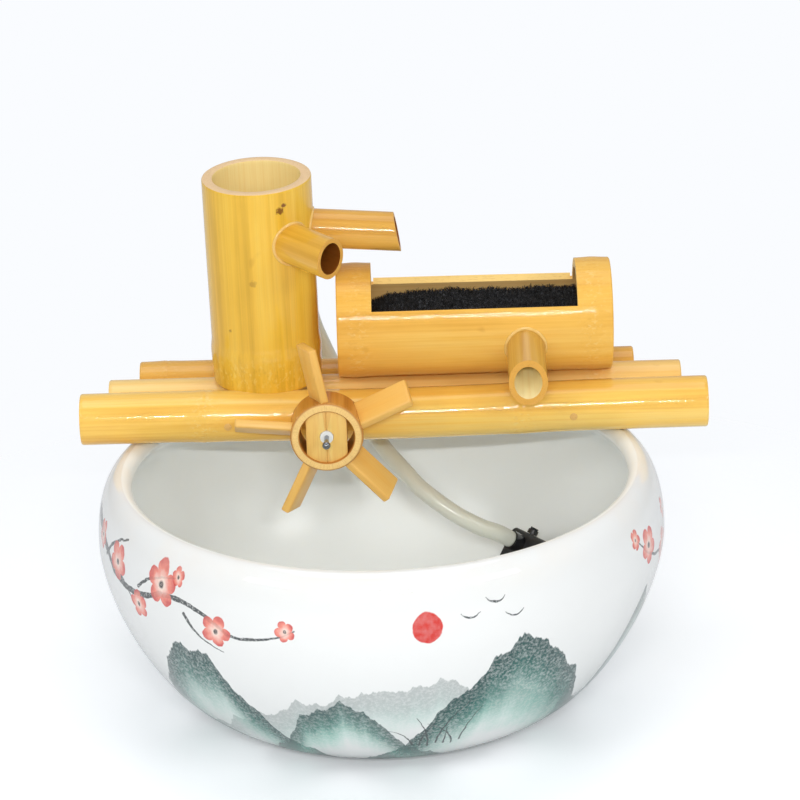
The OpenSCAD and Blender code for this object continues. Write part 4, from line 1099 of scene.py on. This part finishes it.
rays = ease(noise_of(spoke, 18.0, 3.0, 0.7), 0.4, 0.7) * 0.2
outer_edge = ease(from_axis, hub_r - 1.9 * mm, hub_r - 0.7 * mm)
inner_edge = 1.0 - ease(from_axis, hub_bore + 0.1 * mm, hub_bore + 0.9 * mm)
burnt = calc("MAXIMUM", rays, calc("MAXIMUM", outer_edge, inner_edge) * 0.75)
feed(shader.inputs["Base Color"], blend(burnt * stored(tree, "cut"), ring_wood, tone(176, 104, 36)))
finish(hub, hub_wood, "water_wheel", "hub_bamboo", "wheel_hub")

# Blades: five flat slats split from a culm wall. Their corners are sanded round, and each
# is turned a little in its slot so that falling water catches it.
paddle = bmesh.new()
bmesh.ops.create_cube(paddle, size=1)
for v in paddle.verts:
    v.co = Vector(((v.co.x + 0.5) * (blade_tip - blade_root), v.co.y * blade_t, v.co.z * blade_w))
bmesh.ops.bevel(paddle, geom=list(paddle.edges), offset=1.3 * mm, segments=3, profile=0.5, affect="EDGES")
paddle_mesh = bpy.data.meshes.new("paddle")
paddle.to_mesh(paddle_mesh)
paddle.free()
paddle_piece = link_object("paddle", paddle_mesh)
blade_spots = bpy.data.meshes.new("blade_spots")
blade_spots.from_pydata([Matrix.Rotation(math.radians(turn), 3, "Z") @ Vector((blade_root, 0, -hub_l / 2))
                         for turn, twist in blade_turns], [], [])
remember(blade_spots, "turn", "FLOAT_VECTOR", "POINT",
         [math.radians(a) for turn, twist in blade_turns for a in (twist, 0, turn)])

fan_tree, fan_in, fan_inputs = geometry_tree("blades round a hub", {"Blade": "Object"})
blade_shape = put(fan_tree, "GeometryNodeObjectInfo", {"Object": fan_in["Blade"]})["Geometry"]
remembered = put(fan_tree, "GeometryNodeStoreNamedAttribute", {
    "Name": "grain", "Geometry": blade_shape, "Value": put(fan_tree, "GeometryNodeInputPosition")},
    data_type="FLOAT_VECTOR", domain="POINT")
turn_of = put(fan_tree, "GeometryNodeInputNamedAttribute", {"Name": "turn"}, data_type="FLOAT_VECTOR")
round_hub = put(fan_tree, "GeometryNodeInstanceOnPoints",
                {"Points": fan_in["Geometry"], "Instance": remembered, "Rotation": turn_of["Attribute"]})
numbered = put(fan_tree, "GeometryNodeStoreNamedAttribute", {
    "Name": "piece", "Geometry": round_hub, "Value": put(fan_tree, "GeometryNodeInputIndex")},
    data_type="FLOAT", domain="INSTANCE")
blade_set = put(fan_tree, "GeometryNodeRealizeInstances", {"Geometry": numbered})
put(fan_tree, "NodeGroupOutput", {"Geometry": blade_set})
blades = grown("blades", link_object("blade_spots", blade_spots), fan_tree, fan_inputs,
               {"Blade": paddle_piece})
bpy.data.objects.remove(paddle_piece)
blades.data.transform(wheel_place)
smooth_faces(blades, 50)


def slat_wood(name, dark, base, light, edge_tone, gloss):
    """Sanded slats: fibres along their length, and browned where the sander took the edges."""
    made, tree, shader, space = new_material(name)
    grain = own_grain(tree, (0.71, 0.13, 0.29))
    along = put(tree, "ShaderNodeMapping", {"Vector": grain, "Scale": (0.03, 1, 1)})
    fine = noise_of(along, 1100.0, 4.0, 0.7)
    colour = blend(ease(noise_of(along, 120.0), 0.3, 0.7), tone(*base), tone(*light))
    colour = blend(ease(fine, 0.45, 0.8) * 0.5, colour, tone(*dark))
    corner = put(tree, "ShaderNodeNewGeometry")["Pointiness"]
    dress(shader, {"Base Color": blend(ease(corner, 0.505, 0.56) * 0.55, colour, tone(*edge_tone)),
                   "Roughness": gloss, "Coat Weight": 0.15, "Coat Roughness": 0.3})
    relief(shader, fine, 0.08 * mm)
    return made


blade_wood = slat_wood("sanded blades", (230, 170, 74), (255, 214, 110), (255, 226, 132),
                       (232, 156, 62), 0.42)
finish(blades, blade_wood, "water_wheel", "blade_wood", *(f"blade_{i}" for i in range(1, 6)))

# Bridges: two slats let across the hub's bore, front and back, to carry the bushing. Each
# has dried and opened a fine crack down its middle.
bridge_w = 25.4 * mm
bridge_t = 4.5 * mm
bridge_inset = 1.5 * mm
bushing_r = 4.1 * mm
bridge_r = hub_bore - 0.05 * mm
bridge_reach = math.degrees(math.asin(bridge_w / 2 / bridge_r))
bridge_end = arc(0, 0, bridge_r, 90 + bridge_reach, 90 - bridge_reach, 24)
plan = bridge_end + [(-x, -y) for x, y in bridge_end]
count = len(plan)
bridge_faces = [tuple(range(count - 1, -1, -1)), tuple(range(count, 2 * count))]
bridge_faces += [(i, (i + 1) % count, count + (i + 1) % count, count + i) for i in range(count)]
bridge_wood = slat_wood("sanded bridges", (230, 166, 84), (255, 214, 118), (255, 226, 138),
                        (228, 156, 66), 0.40)
for node, face_z, low_z, crack_z in (
        ("bridge_front", -bridge_inset, -bridge_inset - bridge_t, -bridge_inset - 1.2 * mm),
        ("bridge_rear", -hub_l + bridge_inset, -hub_l + bridge_inset, -hub_l + bridge_inset - 1 * mm)):
    slat = solid(node + "_slat", [(x, y, z) for z in (low_z, low_z + bridge_t) for x, y in plan],
                 bridge_faces)
    carve(slat, [rod(bushing_r + 0.15 * mm, low_z - 1 * mm, low_z + bridge_t + 1 * mm),
                 block((-0.22 * mm, -0.03, crack_z), (0.22 * mm, 0.03, crack_z + 2.2 * mm))])
    soften(slat, 0.35 * mm)
    remember(slat.data, "grain", "FLOAT_VECTOR", "POINT",
             [c for v in slat.data.vertices for c in (v.co.y, v.co.x + face_z, v.co.z)])
    slat.data.transform(wheel_place)
    smooth_faces(slat, 40)
    slat.data.polygons.foreach_set("material_index", [0] * len(slat.data.polygons))
    finish(slat, bridge_wood, "water_wheel", "bridge_wood", node)


# Bushing, pin and spacer: a white plastic sleeve in the bridges turns on a polished steel
# pin with a round head. A second sleeve keeps the wheel off the front pole.
def coat_nodes(nodes, name, base, other, scale, roughness, depth, metallic=0.0, coat=0.0):
    """Gives carried-over nodes one stock, a little uneven in tone, gloss and surface."""
    made, tree, shader, space = new_material(name)
    clouds = noise_of(space, scale, 4.0, 0.6)
    dress(shader, {"Base Color": blend(clouds, tone(*base), tone(*other)),
                   "Roughness": clouds * 0.12 + (roughness - 0.06), "Metallic": metallic,
                   "Coat Weight": coat, "Coat Roughness": 0.08})
    relief(shader, noise_of(space, scale * 6, 3.0), depth)
    for node in nodes:
        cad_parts[node].data.materials.clear()
        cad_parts[node].data.materials.append(made)


coat_nodes(("wheel_bushing", "axle_spacer"), "white acetal", (238, 238, 234), (248, 248, 245), 180.0,
           0.35, 0.02 * mm)
# The polished steel's tone is darker than bare steel: a painted dark reflection of the dim surroundings that
# the pin head mirrors.
coat_nodes(("axle_pin", "impeller_shaft"), "polished steel", (120, 122, 126), (160, 162, 166), 300.0, 0.12,
           0.004 * mm, 1.0)

# Screws: stainless wood screws from below, through the middle pole into the cup and the
# trough.
coat_nodes(("cup_screw", "trough_screws"), "stainless screws", (168, 170, 172), (190, 192, 194), 400.0, 0.32,
           0.01 * mm, 1.0)

# Pump: a small submersible pump on four suction cups. Its casing is potted in satin black
# plastic, the intake cover clips on, and the glossy outlet carries the hose.
coat_nodes(("pump_casing",), "satin black casing", (34, 35, 37), (46, 47, 49), 140.0, 0.45, 0.05 * mm)
coat_nodes(("pump_cover", "pump_chamber", "flow_knob"), "satin black cover", (26, 27, 29), (36, 37, 39),
           160.0, 0.38, 0.04 * mm)
coat_nodes(("pump_outlet",), "glossy black outlet", (14, 14, 15), (26, 26, 28), 120.0, 0.2, 0.02 * mm,
           coat=0.6)
coat_nodes(("hose_grommet", "cable_gland"), "soft black rubber", (22, 22, 24), (38, 38, 40), 220.0,
           0.55, 0.05 * mm)
coat_nodes(("suction_cups",), "suction rubber", (34, 36, 38), (50, 52, 54), 200.0, 0.42, 0.03 * mm)
coat_nodes(("impeller",), "moulded impeller", (216, 208, 184), (232, 226, 204), 170.0, 0.4, 0.03 * mm)

# Floor: a plain pale table. It fades out round the bowl into the white room behind it, and
# adds a little light of its own to what the camera sees, so that only the shadow shows.
floor_size = 3.0
room_white = tone(250, 252, 255)
floor = solid("floor", [(x * floor_size, y * floor_size, 0) for x, y in ((-1, -1), (1, -1), (1, 1), (-1, 1))],
              [(0, 1, 2, 3)])
floor_finish, tree, shader, space = new_material("pale table")
to_camera = put(tree, "ShaderNodeLightPath")["Is Camera Ray"]
dress(shader, {"Base Color": tone(240, 242, 244), "Roughness": 0.9, "Emission Color": room_white,
               "Emission Strength": to_camera * 0.28})
gone = ease(vector_calc("LENGTH", space)["Value"], 0.26, 0.62) * to_camera
faded = put(tree, "ShaderNodeMixShader", {0: gone, 1: Field(shader.outputs[0]),
                                          2: put(tree, "ShaderNodeBsdfTransparent")})
feed(tree.nodes["Material Output"].inputs["Surface"], faded)
floor.data.materials.append(floor_finish)

# Light: a white room that is dim to all but the camera, a flash close above the camera that
# draws the thin bright lines along the lacquer, and a low softbox on each side of it.
world = bpy.data.worlds.new("white room")
scene.world = world
world.use_nodes = True
room_level = 0.5
to_camera = put(world.node_tree, "ShaderNodeLightPath")["Is Camera Ray"]
dress(world.node_tree.nodes["Background"],
      {"Color": room_white, "Strength": to_camera * (1 - room_level) + room_level})


def panel(name, place, width, height, power):
    """A soft rectangular lamp at a place, turned to the middle of the fountain."""
    lamp = bpy.data.lights.new(name, "AREA")
    lamp.shape = "RECTANGLE"
    lamp.size = width
    lamp.size_y = height
    lamp.energy = power
    made = link_object(name, lamp)
    made.location = place
    made.rotation_euler = (Vector(place) - Vector((0, 0, 0.15))).to_track_quat("Z", "Y").to_euler()


panel("flash", (0, -1.81, 1.04), 0.7, 0.04, 13)
panel("left softbox", (-1.25, -1.15, 1.15), 0.6, 0.3, 4.5)
panel("right softbox", (1.25, -1.15, 1.15), 0.6, 0.3, 4.5)
panel("top panel", (0.0, 0.3, 2.2), 1.4, 1.4, 11)
